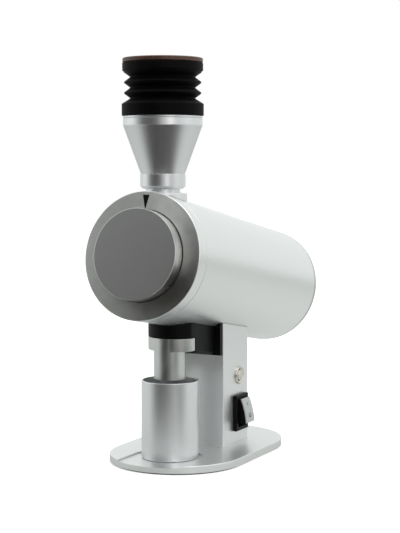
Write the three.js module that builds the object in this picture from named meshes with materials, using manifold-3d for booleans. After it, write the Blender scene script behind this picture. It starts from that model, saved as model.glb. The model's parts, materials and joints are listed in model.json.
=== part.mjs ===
// Burr coffee grinder: a tilted drive tube on a column, with a dosing cup on the base plate.
// Millimetres, +Z up. The origin is under the cup: the cup and spout axis is the Z axis, z = 0 is
// the underside of the base mat, and the dial faces -Y.

import * as THREE from 'three';
import { mergeVertices } from 'three/addons/utils/BufferGeometryUtils.js';
import Module from 'manifold-3d';

const wasm = await Module();
wasm.setup();

// ---- Driving dimensions ------------------------------------------------------------------

// Clearances
const SEAT = 0.05; // flat faces that sit on each other
const GAP = 0.3; // curved or tilted faces that sit on each other
const PRESSED = 0.15; // between the shaft and what is fixed on it
const RUN = 0.5; // between a turning or sliding piece and a fixed one
const PAST = 1; // how far a cutter runs beyond the faces it cuts

// Fasteners: head radius, head height, shank radius, and socket radius, which is also its depth
const COLUMN_SCREW = { head: 4.6, headH: 4, shank: 2.5, socket: 2 };
const SADDLE_BOLT = { head: 4.6, headH: 4.5, shank: 2.5, socket: 2.2 };
const COVER_SCREW = { head: 3.4, headH: 1.6, shank: 1.4, socket: 1.3 };
const BURR_SCREW = { head: 3.5, headH: 2, shank: 1.9, socket: 1.2 };
const SPOUT_SCREW = { head: 2.8, headH: 2.5, shank: 1.5, socket: 1.2 };
const AUGER_BOLT = { head: 6.5, headH: 5, shank: 2.5, socket: 2.4 };
const BURR_SCREWS = 3;
const COVER_SCREWS = 3;

// Base
const BASE_W = 140;
const BASE_L = 230;
const BASE_T = 7.2;
const BASE_FRONT = 53; // from the cup's axis to the front of the plate
const MAT_T = 1.5;
const MAT_INSET = 2.5;
const CHANNEL_W = 72; // recess that guides the cup in from the front
const CHANNEL_DEPTH = 1.8;

// Cup
const CUP_D = 58;
const CUP_H = 79;
const CUP_WALL = 1.8;
const CUP_FLOOR = 4;
const CUP_EDGE = 1.4;
const CUP_LIP = 0.4;
const CUP_FILLET = 2; // inside, round the floor

// Spout, from the cup upward
const SPOUT_OVER_CUP = 0.9;
const SPOUT_D = 32.5;
const SPOUT_WALL = 2.4;
const SPOUT_LEN = 29.2;
const FLANGE_T = 13;
const FLANGE_BACK = 7;
const NOSE_H = 11.2; // chute housing between the spout's flange and the tube, on the cup's axis

// Chute housing
const NOSE_W = 50;
const NOSE_ARC_R = 28;
const NOSE_REACH = 15.5;
const HOUSING_DROP = 25; // below the tube, behind the spout
const HOUSING_PAD = 6;
const SPOUT_RECESS = 1.7; // round the spout, where it passes the housing
const SCREW_THREAD = 6; // of a spout screw, in the housing

// Drive tube and the pieces on its tilted axis
const TILT = THREE.MathUtils.degToRad(10);
const TUBE_D = 127;
const TUBE_WALL = 3.2;
const MACHINE_LEN = 296.5; // front ring's face to the rear cover's face
const RING_REACH = 59; // along the axis, from the ring's face to the cup's axis
const RING_LEN = 15.9;
const RING_FACE_T = 6;
const RING_CHAMFER = 0.8;
const MARK_W = 7; // index mark, a wedge inlaid in the ring's face
const MARK_TIP = 1;
const MARK_DEPTH = 0.8;
const MARK_EDGE = 3.9; // from the ring's rim to the wide end
const COVER_T = 4.3;
const GASKET_T = 1;

// Dial
const DIAL_D = 90;
const DIAL_STAND = 14.8;
const DIAL_SUNK = 3;
const DIAL_SHELL = 5;
const DIAL_GAP = 0.8; // round the dial, in the ring's recess
const DIAL_BEVEL = 1.2;
const THREAD_D = 60; // fine thread between the dial and the burr carrier
const THREAD_WALL = 5;

// Burrs and chamber
const BURR_D = 98;
const BURR_BORE = 58;
const BURR_T = 9;
const BURR_GAP = 0.6;
const BURR_SCREW_PCD = 82;
const BURR_TEETH = 6;
const BURR_HEAD_SUNK = 1.2; // screw heads, below the cutting face
const BURR_FACE = 64.7; // along the axis, to the fixed burr's cutting face
const CHAMBER_WALL = 5.7;
const CHAMBER_BACK = 84;
const CHAMBER_BACK_T = 6;
const CARRIER_FRONT = 24.6;
const CARRIER_PLATE = 5.4;

// Shaft, bearings and motor
const SHAFT_D = 15;
const BEARING_D = 35;
const BEARING_W = 11;
const SEAL_D = 28;
const MOTOR_D = 90;
const MOTOR_FRONT = 113;
const MOTOR_LEN = 119;
const MOTOR_WALL = 3;
const STATOR_LEN = 72;
const ROTOR_D = 49;
const REAR_BEARING_D = 28;
const REAR_BEARING_W = 8;
const TAIL_D = 10; // shaft in the rear bearing
const BEARING_WALL = 7; // of the chamber's hub, round the front bearing
const END_CAP_T = 4;
const MOUNT_T = 6;
const MOUNT_OPENINGS = 3;
const SWEEPS = 3; // on the turning burr's carrier
const VANES = 3; // on the auger

// Column
const COLUMN_W = 65.2;
const COLUMN_L = 60;
const COLUMN_WALL = 3;
const COLUMN_FLOOR = 8;
const COLUMN_FRONT = 56; // from the cup's axis to the column's front face
const COLUMN_CORNER = 1.2;
const COLUMN_SCREW_INSET = 9; // from the column's outer faces to its screws
const SADDLE_T = 15; // under the tube's lowest line, at the column's back
const SADDLE_BOLT_X = 18;
const WIRING_D = 18;

// Hopper, from the tube upward
const HOPPER_OFFSET = 14; // the hopper's axis is this far in front of the cup's
const BOSS_D = 48;
const BOSS_STAND = 3; // above the top of the tube, on the hopper's axis
const BOSS_NECK_D = 38.8;
const NECK_DROP = 12; // below the step that the spigot stands on
const INLET_BORE_D = 30;
const SPIGOT_D = 34.1;
const SPIGOT_WALL = 2.2;
const SPIGOT_SHOWN = 4.3;
const SPIGOT_SUNK = 10.4;
const COLLAR_D = 45;
const COLLAR_H = 15.5;
const COLLAR_CHAMFER = 2.6;
const CONE_H = 46.3;
const RIM_D = 78.9;
const RIM_H = 9.9;
const LIP_D = 72;
const LIP_H = 10.3;
const LIP_WALL = 1.8;
const FUNNEL_WALL = 2.6;

// Bellows and lid
const BAND_D = 81.1;
const BAND_H = 11.8;
const BELLOWS_H = 51.8;
const CREST_D = 75.6;
const ROOT_D = 65.2;
const FOLDS = 2;
const BELLOWS_WALL = 1.9;
const HEAD_BAND_WALL = 4.6;
const HEAD_BAND_D = 79.8;
const HEAD_BAND_H = 8.8;
const HEAD_RING_H = 7.8;
const HEAD_RING_WALL = 3.6;
const LID_D = 79.4;
const LID_T = 4.6;
const LID_CHAMFER = 0.8;
const PLUG_H = 6;
const SEAL_UP = 3; // from the lid's underside down to its seal
const SEAL_GROOVE = 1.4;

// Controls on the right face of the column
const CONTROL_BACK = 37.5; // from the column's front face to the controls' middle
const BUTTON_Z = 80;
const BUTTON_D = 19;
const BUTTON_CAP_D = 11.8;
const BUTTON_STAND = 2.3;
const BUTTON_BARREL_D = 16;
const BUTTON_DEPTH = 19;
const ROCKER_Z = 40.5;
const ROCKER_L = 29;
const ROCKER_H = 38;
const ROCKER_STAND = 4.7;
const ROCKER_WALL = 4.1;
const ROCKER_DEPTH = 22;
const ROCKER_TILT = THREE.MathUtils.degToRad(14);
const PADDLE_STAND = 11.5; // from the pivot to the ends of the face
const PADDLE_CROWN = 1.1; // rise of the face between its ends
const PADDLE_LEN = 26.4;
const PADDLE_DEPTH = 6; // behind the pivot

// Mains inlet on the column's rear face
const INLET_X = -11;
const INLET_Z = 34;
const INLET_W = 27;
const INLET_H = 20;
const INLET_DEPTH = 24;
const INLET_FLANGE = 1.8;
const INLET_LIP = 2; // of the flange, round the body
const INLET_WALL = 1.5;

// ---- Sizes that follow -------------------------------------------------------------------

const plateTop = MAT_T + BASE_T;
const baseCentreY = BASE_L / 2 - BASE_FRONT;
const channelR = CHANNEL_W / 2;
const channelEndY = CUP_D / 2 + SEAT - channelR;
const cupFloorZ = plateTop - CHANNEL_DEPTH;
const cupTopZ = cupFloorZ + CUP_H;
const spoutEndZ = cupTopZ + SPOUT_OVER_CUP;
const flangeBottomZ = spoutEndZ + SPOUT_LEN;
const flangeTopZ = flangeBottomZ + FLANGE_T;

const tubeR = TUBE_D / 2;
const tubeBoreR = tubeR - TUBE_WALL;
const axisZ = flangeTopZ + NOSE_H + tubeR / Math.cos(TILT); // the axis above the cup
const ringFaceY = -RING_REACH * Math.cos(TILT);
const ringFaceZ = axisZ + RING_REACH * Math.sin(TILT);

const dialR = DIAL_D / 2;
const threadR = THREAD_D / 2;
const chamberR = tubeBoreR - GAP;
const chamberBoreR = chamberR - CHAMBER_WALL;
const carrierR = chamberBoreR - GAP;
const carrierBoreR = carrierR - 6;
const burrR = BURR_D / 2;
const burrBoreR = BURR_BORE / 2;
const burrScrewR = BURR_SCREW_PCD / 2;
const fixedBurrBack = BURR_FACE - BURR_T;
const rotorFace = BURR_FACE + BURR_GAP;
const rotorBurrBack = rotorFace + BURR_T;
const shaftR = SHAFT_D / 2;

const hopperY = -HOPPER_OFFSET;
const bossTopZ = axisZ + HOPPER_OFFSET * Math.tan(TILT) + tubeR / Math.cos(TILT) + BOSS_STAND;
const spigotBottomZ = bossTopZ - SPIGOT_SUNK;
const collarBottomZ = bossTopZ + SPIGOT_SHOWN;
const coneBottomZ = collarBottomZ + COLLAR_H;
const rimBottomZ = coneBottomZ + CONE_H;
const rimTopZ = rimBottomZ + RIM_H;
const bellowsBottomZ = rimTopZ + GAP;
const bellowsTopZ = bellowsBottomZ + BELLOWS_H;
const lidBottomZ = bellowsTopZ + GAP;

const columnBackY = COLUMN_FRONT + COLUMN_L;
const columnMidY = COLUMN_FRONT + COLUMN_L / 2;
const columnSideX = COLUMN_W / 2;
const controlY = COLUMN_FRONT + CONTROL_BACK;
const saddleTopZ = axisZ - COLUMN_FRONT * Math.tan(TILT);
const saddleLowZ = axisZ - columnBackY * Math.tan(TILT) - tubeR / Math.cos(TILT) - SADDLE_T;

// ---- Materials ---------------------------------------------------------------------------

const finish = (color, roughness, metalness) => ({ color, roughness, metalness });
const ALUMINIUM = finish(0xc9cbca, 0.42, 0.9);
const GREY_ALUMINIUM = finish(0x9c9c9b, 0.45, 0.9);
const STEEL = finish(0xb9bbbd, 0.28, 1);
const BLACK_PLASTIC = finish(0x17181a, 0.6, 0);
const SILICONE = finish(0x1d1d1e, 0.75, 0);
const RUBBER = finish(0x232425, 0.8, 0);
const WALNUT = finish(0x6b4836, 0.55, 0);
const SILVER_PLASTIC = finish(0xcfd1d2, 0.35, 0.2);
const COPPER = finish(0xa96f45, 0.45, 0.8);
const BOARD = finish(0x2c5a3c, 0.6, 0);

// ---- Geometry helpers --------------------------------------------------------------------

const facets = (r) => (r > 30 ? 32 : r > 12 ? 20 : r > 4 ? 12 : 8);

// Turns a closed geometry into a solid, without repeated vertices or collapsed triangles.
function solid(geometry) {
  const bare = geometry.clone();
  bare.deleteAttribute('normal');
  bare.deleteAttribute('uv');
  const merged = mergeVertices(bare, 1e-4);
  const p = merged.attributes.position;
  const kept = [];
  for (let i = 0; i < merged.index.count; i += 3) {
    const [a, b, c] = [0, 1, 2].map((k) => merged.index.getX(i + k));
    if (a !== b && b !== c && c !== a) kept.push([a, b, c]);
  }
  const at = (i) => new THREE.Vector3().fromBufferAttribute(p, i);
  const volume = kept.reduce((sum, [a, b, c]) => sum + at(a).dot(at(b).cross(at(c))), 0);
  const triangles = volume < 0 ? kept.map(([a, b, c]) => [a, c, b]) : kept;
  return new wasm.Manifold(new wasm.Mesh({
    numProp: 3,
    vertProperties: new Float32Array(p.array),
    triVerts: new Uint32Array(triangles.flat()),
  }));
}

function geometryOf(shape) {
  const mesh = shape.getMesh();
  const geometry = new THREE.BufferGeometry();
  geometry.setAttribute('position', new THREE.BufferAttribute(new Float32Array(mesh.vertProperties), 3));
  geometry.setIndex(Array.from(mesh.triVerts));
  geometry.computeVertexNormals();
  return geometry;
}

const points = (list) => list.map(([r, h]) => new THREE.Vector2(r, h));

// Revolves [radius, distance] points about the Y axis; a profile that keeps off the axis is closed here.
function revolved(profile) {
  const outline = profile[0][0] === 0 ? profile : [...profile, profile[0]];
  const widest = Math.max(...profile.map(([radius]) => radius));
  return new THREE.LatheGeometry(points(outline), facets(widest));
}

const aboutY = (profile) => solid(revolved(profile));

// About a vertical axis through (x, y); distances are heights.
function aboutZ(profile, x = 0, y = 0) {
  return solid(revolved(profile).rotateX(Math.PI / 2).translate(x, y, 0));
}

// About a line along X through (y, z).
function aboutX(profile, y, z) {
  return solid(revolved(profile).rotateZ(-Math.PI / 2).translate(0, y, z));
}

const rod = (r, from, to) => [[0, from], [r, from], [r, to], [0, to]];
const pipe = (r, bore, from, to) => [[bore, from], [r, from], [r, to], [bore, to]];

// A socket-head screw, from the top of its head to the end of its shank.
function screw({ head, headH, shank, socket }, top, end) {
  const into = Math.sign(end - top);
  return [[0, top + into * socket], [socket, top + into * socket], [socket, top], [head, top],
    [head, top + into * headH], [shank, top + into * headH], [shank, end], [0, end]];
}

function box(w, l, h, x, y, z) {
  const geometry = new THREE.BoxGeometry(w, l, h);
  geometry.translate(x, y, z);
  return solid(geometry);
}

// Extrudes a plan from z = from to z = to.
function upright(plan, from, to, curveSegments = 14) {
  const geometry = new THREE.ExtrudeGeometry(plan, { depth: to - from, bevelEnabled: false, curveSegments });
  geometry.translate(0, 0, from);
  return solid(geometry);
}

function stadium(width, length, centreY) {
  const r = width / 2;
  const half = length / 2 - r;
  const plan = new THREE.Shape();
  plan.moveTo(r, centreY - half);
  plan.lineTo(r, centreY + half);
  plan.absarc(0, centreY + half, r, 0, Math.PI);
  plan.lineTo(-r, centreY - half);
  plan.absarc(0, centreY - half, r, Math.PI, 2 * Math.PI);
  return plan;
}

function roundedRectangle(width, length, centreY, radius) {
  const x = width / 2 - radius;
  const y = length / 2 - radius;
  const plan = new THREE.Shape();
  plan.absarc(x, centreY + y, radius, 0, Math.PI / 2);
  plan.absarc(-x, centreY + y, radius, Math.PI / 2, Math.PI);
  plan.absarc(-x, centreY - y, radius, Math.PI, 1.5 * Math.PI);
  plan.absarc(x, centreY - y, radius, 1.5 * Math.PI, 2 * Math.PI);
  return plan;
}

const joined = (first, ...rest) => rest.reduce((sum, piece) => sum.add(piece), first);
const cut = (first, ...tools) => tools.reduce((left, tool) => left.subtract(tool), first);
const around = (count, make) => Array.from({ length: count }, (_, i) => make((2 * Math.PI * i) / count, i));

// ---- Groups ------------------------------------------------------------------------------

const group = new THREE.Group();
const machine = new THREE.Group(); // Y runs back along the drive tube from the ring's face
machine.position.set(0, ringFaceY, ringFaceZ);
machine.rotation.x = -TILT;
machine.updateMatrix();
group.add(machine);
const intoMachine = machine.matrix.clone().invert();

const moved = (shape, matrix) => shape.transform(matrix.elements);
const tilted = (shape) => moved(shape, intoMachine); // an upright solid, seen in the machine's frame
const levelled = (shape) => moved(shape, machine.matrix); // a solid of the machine's, seen upright

function add(parent, name, shape, surface) {
  const mesh = new THREE.Mesh(geometryOf(shape), new THREE.MeshStandardMaterial(surface));
  mesh.name = name;
  parent.add(mesh);
}

// ---- Cutters that several pieces share ---------------------------------------------------

const tubeEnvelope = levelled(aboutY(rod(tubeR + GAP, -DIAL_STAND, MACHINE_LEN + 1)));
const inletHole = tilted(aboutZ(rod(BOSS_NECK_D / 2 + GAP, axisZ + tubeR / 3, bossTopZ + PAST), 0, hopperY));
const spoutBoreR = SPOUT_D / 2 - SPOUT_WALL;
const outletHole = tilted(aboutZ(rod(spoutBoreR + RUN, flangeTopZ, axisZ - tubeR / 3)));
const wiringHole = tilted(aboutZ(rod(WIRING_D / 2, saddleLowZ, axisZ - tubeR / 2), 0, columnMidY));
const saddleBoltX = [-SADDLE_BOLT_X, SADDLE_BOLT_X];
const boltReach = 4; // of a saddle bolt, inside the tube
const boltTopZ = axisZ - columnMidY * Math.tan(TILT)
  - Math.sqrt(tubeR ** 2 - SADDLE_BOLT_X ** 2) / Math.cos(TILT) + TUBE_WALL + boltReach;

// ---- Base --------------------------------------------------------------------------------

const columnScrewX = columnSideX - COLUMN_SCREW_INSET;
const columnScrewY = COLUMN_L / 2 - COLUMN_SCREW_INSET;
const columnCorners = [[1, 1], [-1, 1], [-1, -1], [1, -1]]
  .map(([i, j]) => [i * columnScrewX, columnMidY + j * columnScrewY]);
const columnScrewEnd = plateTop + COLUMN_FLOOR - 1.5;

function basePlate() {
  const plate = upright(stadium(BASE_W, BASE_L, baseCentreY), MAT_T, plateTop);
  const channel = new THREE.Shape();
  channel.moveTo(channelR, -BASE_FRONT - PAST);
  channel.lineTo(channelR, channelEndY);
  channel.absarc(0, channelEndY, channelR, 0, Math.PI);
  channel.lineTo(-channelR, -BASE_FRONT - PAST);
  const holes = columnCorners.flatMap(([x, y]) => [
    aboutZ(rod(COLUMN_SCREW.shank + GAP, 0, plateTop + PAST), x, y),
    aboutZ(rod(COLUMN_SCREW.head + GAP, 0, MAT_T + COLUMN_SCREW.headH + GAP), x, y),
  ]);
  return cut(plate, upright(channel, cupFloorZ, plateTop + PAST), ...holes);
}

function baseMat() {
  const mat = upright(stadium(BASE_W - 2 * MAT_INSET, BASE_L - 2 * MAT_INSET, baseCentreY), 0, MAT_T - SEAT);
  const access = COLUMN_SCREW.head + 1;
  return cut(mat, ...columnCorners.map(([x, y]) => aboutZ(rod(access, -PAST, MAT_T + PAST), x, y)));
}

const columnScrew = (x, y) => aboutZ(screw(COLUMN_SCREW, MAT_T + SEAT, columnScrewEnd), x, y);

add(group, 'base_plate', basePlate(), ALUMINIUM);
add(group, 'base_mat', baseMat(), RUBBER);
columnCorners.forEach(([x, y], i) => add(group, `column_screw_${i + 1}`, columnScrew(x, y), STEEL));

// ---- Column ------------------------------------------------------------------------------

// A block with softened upright edges, on the column's plan centre.
function uprightBlock(width, length, from, to) {
  return upright(roundedRectangle(width, length, columnMidY, COLUMN_CORNER), from, to, 2);
}

const rockerBodyL = ROCKER_L - 2 * ROCKER_WALL + 2;
const rockerBodyH = ROCKER_H - 2 * ROCKER_WALL + 2;

function column() {
  const bottomZ = plateTop + SEAT;
  return cut(
    uprightBlock(COLUMN_W, COLUMN_L, bottomZ, saddleTopZ),
    uprightBlock(COLUMN_W - 2 * COLUMN_WALL, COLUMN_L - 2 * COLUMN_WALL, bottomZ + COLUMN_FLOOR,
      saddleTopZ + PAST),
    tubeEnvelope,
    aboutX(rod(BUTTON_BARREL_D / 2 + GAP, columnSideX - 2 * COLUMN_WALL, columnSideX + PAST), controlY,
      BUTTON_Z),
    box(4 * COLUMN_WALL, rockerBodyL + 2 * GAP, rockerBodyH + 2 * GAP, columnSideX, controlY, ROCKER_Z),
    box(INLET_W + 2 * GAP, 4 * COLUMN_WALL, INLET_H + 2 * GAP, INLET_X, columnBackY, INLET_Z),
    ...columnCorners.map(([x, y]) => aboutZ(rod(COLUMN_SCREW.shank + GAP, 0, columnScrewEnd + RUN), x, y)),
  );
}

function saddleBlock() {
  const w = COLUMN_W - 2 * COLUMN_WALL - 2 * GAP;
  const l = COLUMN_L - 2 * COLUMN_WALL - 2 * GAP;
  return cut(
    uprightBlock(w, l, saddleLowZ, saddleTopZ),
    tubeEnvelope,
    aboutZ(rod(WIRING_D / 2, saddleLowZ - PAST, saddleTopZ), 0, columnMidY),
    ...saddleBoltX.map((x) => (
      aboutZ(rod(SADDLE_BOLT.shank + GAP, saddleLowZ - PAST, saddleTopZ), x, columnMidY))),
  );
}

function saddleBolt(x) {
  return aboutZ(screw(SADDLE_BOLT, saddleLowZ - SEAT - SADDLE_BOLT.headH, boltTopZ), x, columnMidY);
}

add(group, 'column', column(), ALUMINIUM);
add(group, 'saddle_block', saddleBlock(), ALUMINIUM);
saddleBoltX.forEach((x, i) => add(group, `saddle_bolt_${i + 1}`, saddleBolt(x), STEEL));

// ---- Controls ----------------------------------------------------------------------------

function buttonBezel() {
  const face = columnSideX + SEAT;
  const barrel = BUTTON_BARREL_D / 2;
  const bore = BUTTON_CAP_D / 2 + RUN / 2;
  const back = columnSideX - BUTTON_DEPTH;
  return aboutX([[2, back], [barrel, back], [barrel, face], [BUTTON_D / 2, face],
    [BUTTON_D / 2, face + BUTTON_STAND - 0.6], [BUTTON_D / 2 - 0.6, face + BUTTON_STAND],
    [bore, face + BUTTON_STAND], [bore, back + 2], [2, back + 2]], controlY, BUTTON_Z);
}

function startButton() {
  const out = columnSideX + BUTTON_STAND + 0.4;
  const r = BUTTON_CAP_D / 2;
  const back = columnSideX - BUTTON_DEPTH + 5;
  return aboutX([[0, back], [r, back], [r, out - 0.5], [r - 0.5, out], [0, out]], controlY, BUTTON_Z);
}

function rockerFrame() {
  const openL = ROCKER_L - 2 * ROCKER_WALL;
  const openH = ROCKER_H - 2 * ROCKER_WALL;
  const face = columnSideX + SEAT;
  const bezel = box(ROCKER_STAND, ROCKER_L, ROCKER_H, face + ROCKER_STAND / 2, controlY, ROCKER_Z);
  const bodyX = face + 1 - (ROCKER_DEPTH + 1) / 2;
  const body = box(ROCKER_DEPTH + 1, rockerBodyL, rockerBodyH, bodyX, controlY, ROCKER_Z);
  const hollow = box(ROCKER_DEPTH + ROCKER_STAND, openL, openH, face + ROCKER_STAND / 2 + 2, controlY,
    ROCKER_Z);
  return cut(joined(bezel, body), hollow);
}

// The paddle's outline in the plane of its travel, tipped so that its upper end is pressed in.
function rockerPaddle() {
  const half = PADDLE_LEN / 2;
  const width = ROCKER_L - 2 * ROCKER_WALL - 2 * RUN;
  const outline = new THREE.Shape();
  outline.moveTo(PADDLE_STAND, half);
  outline.lineTo(PADDLE_STAND + PADDLE_CROWN, 0);
  outline.lineTo(PADDLE_STAND, -half);
  outline.lineTo(0, 1 - half);
  outline.lineTo(-PADDLE_DEPTH, -half / 2);
  outline.lineTo(-PADDLE_DEPTH, half / 2);
  outline.lineTo(0, half - 1);
  const geometry = new THREE.ExtrudeGeometry(outline, { depth: width, bevelEnabled: false });
  geometry.translate(0, 0, -width / 2);
  geometry.rotateX(Math.PI / 2);
  geometry.rotateY(-ROCKER_TILT);
  geometry.translate(columnSideX, controlY, ROCKER_Z);
  return solid(geometry);
}

function mainsInlet() {
  const face = columnBackY + SEAT;
  const flange = box(INLET_W + 2 * INLET_LIP, INLET_FLANGE, INLET_H + 2 * INLET_LIP, INLET_X,
    face + INLET_FLANGE / 2, INLET_Z);
  const body = box(INLET_W, INLET_DEPTH, INLET_H, INLET_X, face + 0.5 - INLET_DEPTH / 2, INLET_Z);
  const socket = box(INLET_W - 2 * INLET_WALL, INLET_DEPTH - 4, INLET_H - 2 * INLET_WALL, INLET_X,
    face + 4.5 - INLET_DEPTH / 2, INLET_Z);
  const blades = [[-7, 1.5], [0, -1.5], [7, 1.5]]
    .map(([x, z]) => box(2, 16, 4.5, INLET_X + x, face + 9 - INLET_DEPTH, INLET_Z + z));
  return joined(cut(joined(flange, body), socket), ...blades);
}

function controlBoard() {
  const x = -columnSideX + COLUMN_WALL + 3;
  const board = box(1.6, 24, 66, x, COLUMN_FRONT + 17, BUTTON_Z - 20);
  const transformer = box(14, 18, 20, x + 7, COLUMN_FRONT + 17, BUTTON_Z - 38);
  const relay = box(10, 14, 12, x + 5, COLUMN_FRONT + 17, BUTTON_Z - 12);
  return joined(board, transformer, relay);
}

add(group, 'button_bezel', buttonBezel(), STEEL);
add(group, 'start_button', startButton(), STEEL);
add(group, 'rocker_frame', rockerFrame(), BLACK_PLASTIC);
add(group, 'rocker_paddle', rockerPaddle(), SILVER_PLASTIC);
add(group, 'mains_inlet', mainsInlet(), BLACK_PLASTIC);
add(group, 'control_board', controlBoard(), BOARD);

// ---- Drive tube, ring and rear cover -----------------------------------------------------

const coverFront = MACHINE_LEN - COVER_T;
const tubeEnd = coverFront - GASKET_T - 2 * SEAT;
const rearRingBack = tubeEnd - 1;
const rearScrewR = tubeBoreR - 7;
const rearScrewEnd = rearRingBack - 6;

function frontRing() {
  const r = tubeR;
  const recess = dialR + DIAL_GAP;
  const hubHole = threadR + THREAD_WALL + 3 * RUN;
  const profile = [[hubHole, DIAL_SUNK + RUN], [recess, DIAL_SUNK + RUN], [recess, 0], [r - RING_CHAMFER, 0],
    [r, RING_CHAMFER], [r, RING_LEN], [chamberR + GAP, RING_LEN], [chamberR + GAP, RING_FACE_T],
    [hubHole, RING_FACE_T]];
  return cut(aboutY(profile), inletHole, indexWedge(PRESSED, PAST));
}

// The index wedge, pointing at the dial, or with a margin and some extra height its pocket.
function indexWedge(margin, extra) {
  const outer = tubeR - MARK_EDGE + margin;
  const inner = dialR + 2 * DIAL_GAP - margin;
  const wedge = new THREE.Shape();
  wedge.moveTo(-MARK_W / 2 - margin, outer);
  wedge.lineTo(-MARK_TIP / 2 - margin, inner);
  wedge.lineTo(MARK_TIP / 2 + margin, inner);
  wedge.lineTo(MARK_W / 2 + margin, outer);
  const depth = MARK_DEPTH + margin + extra;
  const geometry = new THREE.ExtrudeGeometry(wedge, { depth, bevelEnabled: false });
  geometry.rotateX(Math.PI / 2);
  geometry.translate(0, MARK_DEPTH + margin, 0);
  return solid(geometry);
}

function bodyTube() {
  const start = RING_LEN + GAP;
  const bolts = saddleBoltX.map((x) => (
    tilted(aboutZ(rod(SADDLE_BOLT.shank + GAP, saddleLowZ, boltTopZ + PAST), x, columnMidY))));
  return cut(aboutY(pipe(tubeR, tubeBoreR, start, tubeEnd)), inletHole, outletHole, wiringHole, ...bolts);
}

function rearRing() {
  const holes = around(COVER_SCREWS, (a) => (
    axialRod(COVER_SCREW.shank + GAP, rearRingBack - 8 - PAST, rearRingBack + PAST, rearScrewR, a)));
  return cut(aboutY(pipe(tubeBoreR - GAP, tubeBoreR - 14, rearRingBack - 8, rearRingBack)), ...holes);
}

function rearGasket() {
  return aboutY(pipe(tubeR - 0.5, tubeR - 4, tubeEnd + SEAT, coverFront - SEAT));
}

function rearCover() {
  const back = MACHINE_LEN;
  const disc = aboutY([[0, coverFront], [tubeR - 0.2, coverFront], [tubeR - 0.2, back - 0.8],
    [tubeR - 1, back], [0, back]]);
  const seat = back - COVER_SCREW.headH - 2 * GAP;
  const holes = around(COVER_SCREWS, (a) => joined(
    axialRod(COVER_SCREW.shank + GAP, coverFront - PAST, back + PAST, rearScrewR, a),
    axialRod(COVER_SCREW.head + GAP, seat, back + PAST, rearScrewR, a),
  ));
  return cut(disc, ...holes);
}

// Moves a shape on the drive axis out to radius r, at angle a from the top.
const outBy = (shape, r, a) => shape.translate([r * Math.sin(a), 0, r * Math.cos(a)]);

const axialRod = (radius, from, to, r, a) => outBy(aboutY(rod(radius, from, to)), r, a);

const rearScrew = (a) => outBy(aboutY(screw(COVER_SCREW, MACHINE_LEN - GAP, rearScrewEnd)), rearScrewR, a);

add(machine, 'front_ring', frontRing(), GREY_ALUMINIUM);
add(machine, 'index_mark', indexWedge(0, 0), BLACK_PLASTIC);
add(machine, 'body_tube', bodyTube(), ALUMINIUM);
add(machine, 'rear_ring', rearRing(), ALUMINIUM);
add(machine, 'rear_gasket', rearGasket(), RUBBER);
add(machine, 'rear_cover', rearCover(), ALUMINIUM);
around(COVER_SCREWS, (a, i) => add(machine, `rear_cover_screw_${i + 1}`, rearScrew(a), STEEL));

// ---- Dial and fixed burr -----------------------------------------------------------------

function dial() {
  const front = -DIAL_STAND;
  const hubR = threadR + THREAD_WALL;
  const threadBore = threadR + GAP;
  const inside = front + DIAL_SHELL;
  const hubEnd = CARRIER_FRONT - 8;
  return aboutY([[0, front], [dialR - DIAL_BEVEL, front], [dialR, front + DIAL_BEVEL], [dialR, DIAL_SUNK],
    [dialR - DIAL_SHELL, DIAL_SUNK], [dialR - DIAL_SHELL, inside], [hubR, inside], [hubR, hubEnd],
    [threadBore, hubEnd], [threadBore, inside], [0, inside]]);
}

const burrScrewAngles = around(BURR_SCREWS, (a) => a + Math.PI / BURR_SCREWS);

// Carries the fixed burr; its threaded neck screws into the dial, and beans fall in at its top.
function burrCarrier() {
  const neckBore = threadR - 5;
  const front = CARRIER_FRONT;
  const back = fixedBurrBack - GAP;
  const inside = front + CARRIER_PLATE;
  const neck = -DIAL_STAND + DIAL_SHELL + 4;
  const sleeve = aboutY([[threadR, neck], [threadR, front], [carrierR, front], [carrierR, back],
    [burrBoreR, back], [burrBoreR, back - CARRIER_PLATE], [carrierBoreR, back - CARRIER_PLATE],
    [carrierBoreR, inside], [neckBore, inside], [neckBore, neck]]);
  const mouth = tilted(aboutZ(rod(BOSS_NECK_D / 2 + 2, axisZ + tubeR / 3, bossTopZ), 0, hopperY));
  const screws = burrScrewAngles.map((a) => (
    axialRod(BURR_SCREW.shank + GAP, back - CARRIER_PLATE - PAST, back + PAST, burrScrewR, a)));
  return cut(sleeve, mouth, ...screws);
}

// A flat burr with a coned eye and radial cutting grooves; its cutting face is at `face`.
function burr(face, back) {
  const side = Math.sign(face - back);
  const rim = face - side * 0.8;
  const eye = face - side * 3.5;
  const ring = aboutY([[burrBoreR, back], [burrR, back], [burrR, rim], [burrR - 6, face],
    [burrR - 10, face - side * 0.4], [burrBoreR, eye]]);
  const grooves = around(BURR_TEETH, (a) => {
    const groove = new THREE.BoxGeometry(2.4, 3, burrR - burrBoreR - 4);
    groove.rotateZ(Math.PI / 4);
    groove.rotateY(0.45);
    groove.translate(0, face, (burrR + burrBoreR) / 2 - 4);
    groove.rotateY(a + Math.PI / BURR_TEETH);
    return solid(groove);
  });
  const seat = face - side * (BURR_HEAD_SUNK + BURR_SCREW.headH + PRESSED);
  const holes = burrScrewAngles.map((a) => joined(
    axialRod(BURR_SCREW.shank + GAP, back - side * PAST, face + side * PAST, burrScrewR, a),
    axialRod(BURR_SCREW.head + GAP, seat, face + side * PAST, burrScrewR, a),
  ));
  return cut(ring, ...grooves, ...holes);
}

function burrScrew(face, side, a) {
  const top = face - side * BURR_HEAD_SUNK;
  const end = face - side * (BURR_T + CARRIER_PLATE - RUN);
  return outBy(aboutY(screw(BURR_SCREW, top, end)), burrScrewR, a);
}

function preloadSpring() {
  const r = chamberBoreR - 1;
  const from = RING_FACE_T + GAP;
  return aboutY(pipe(r, r - 4, from + 12, from + 14));
}

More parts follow.
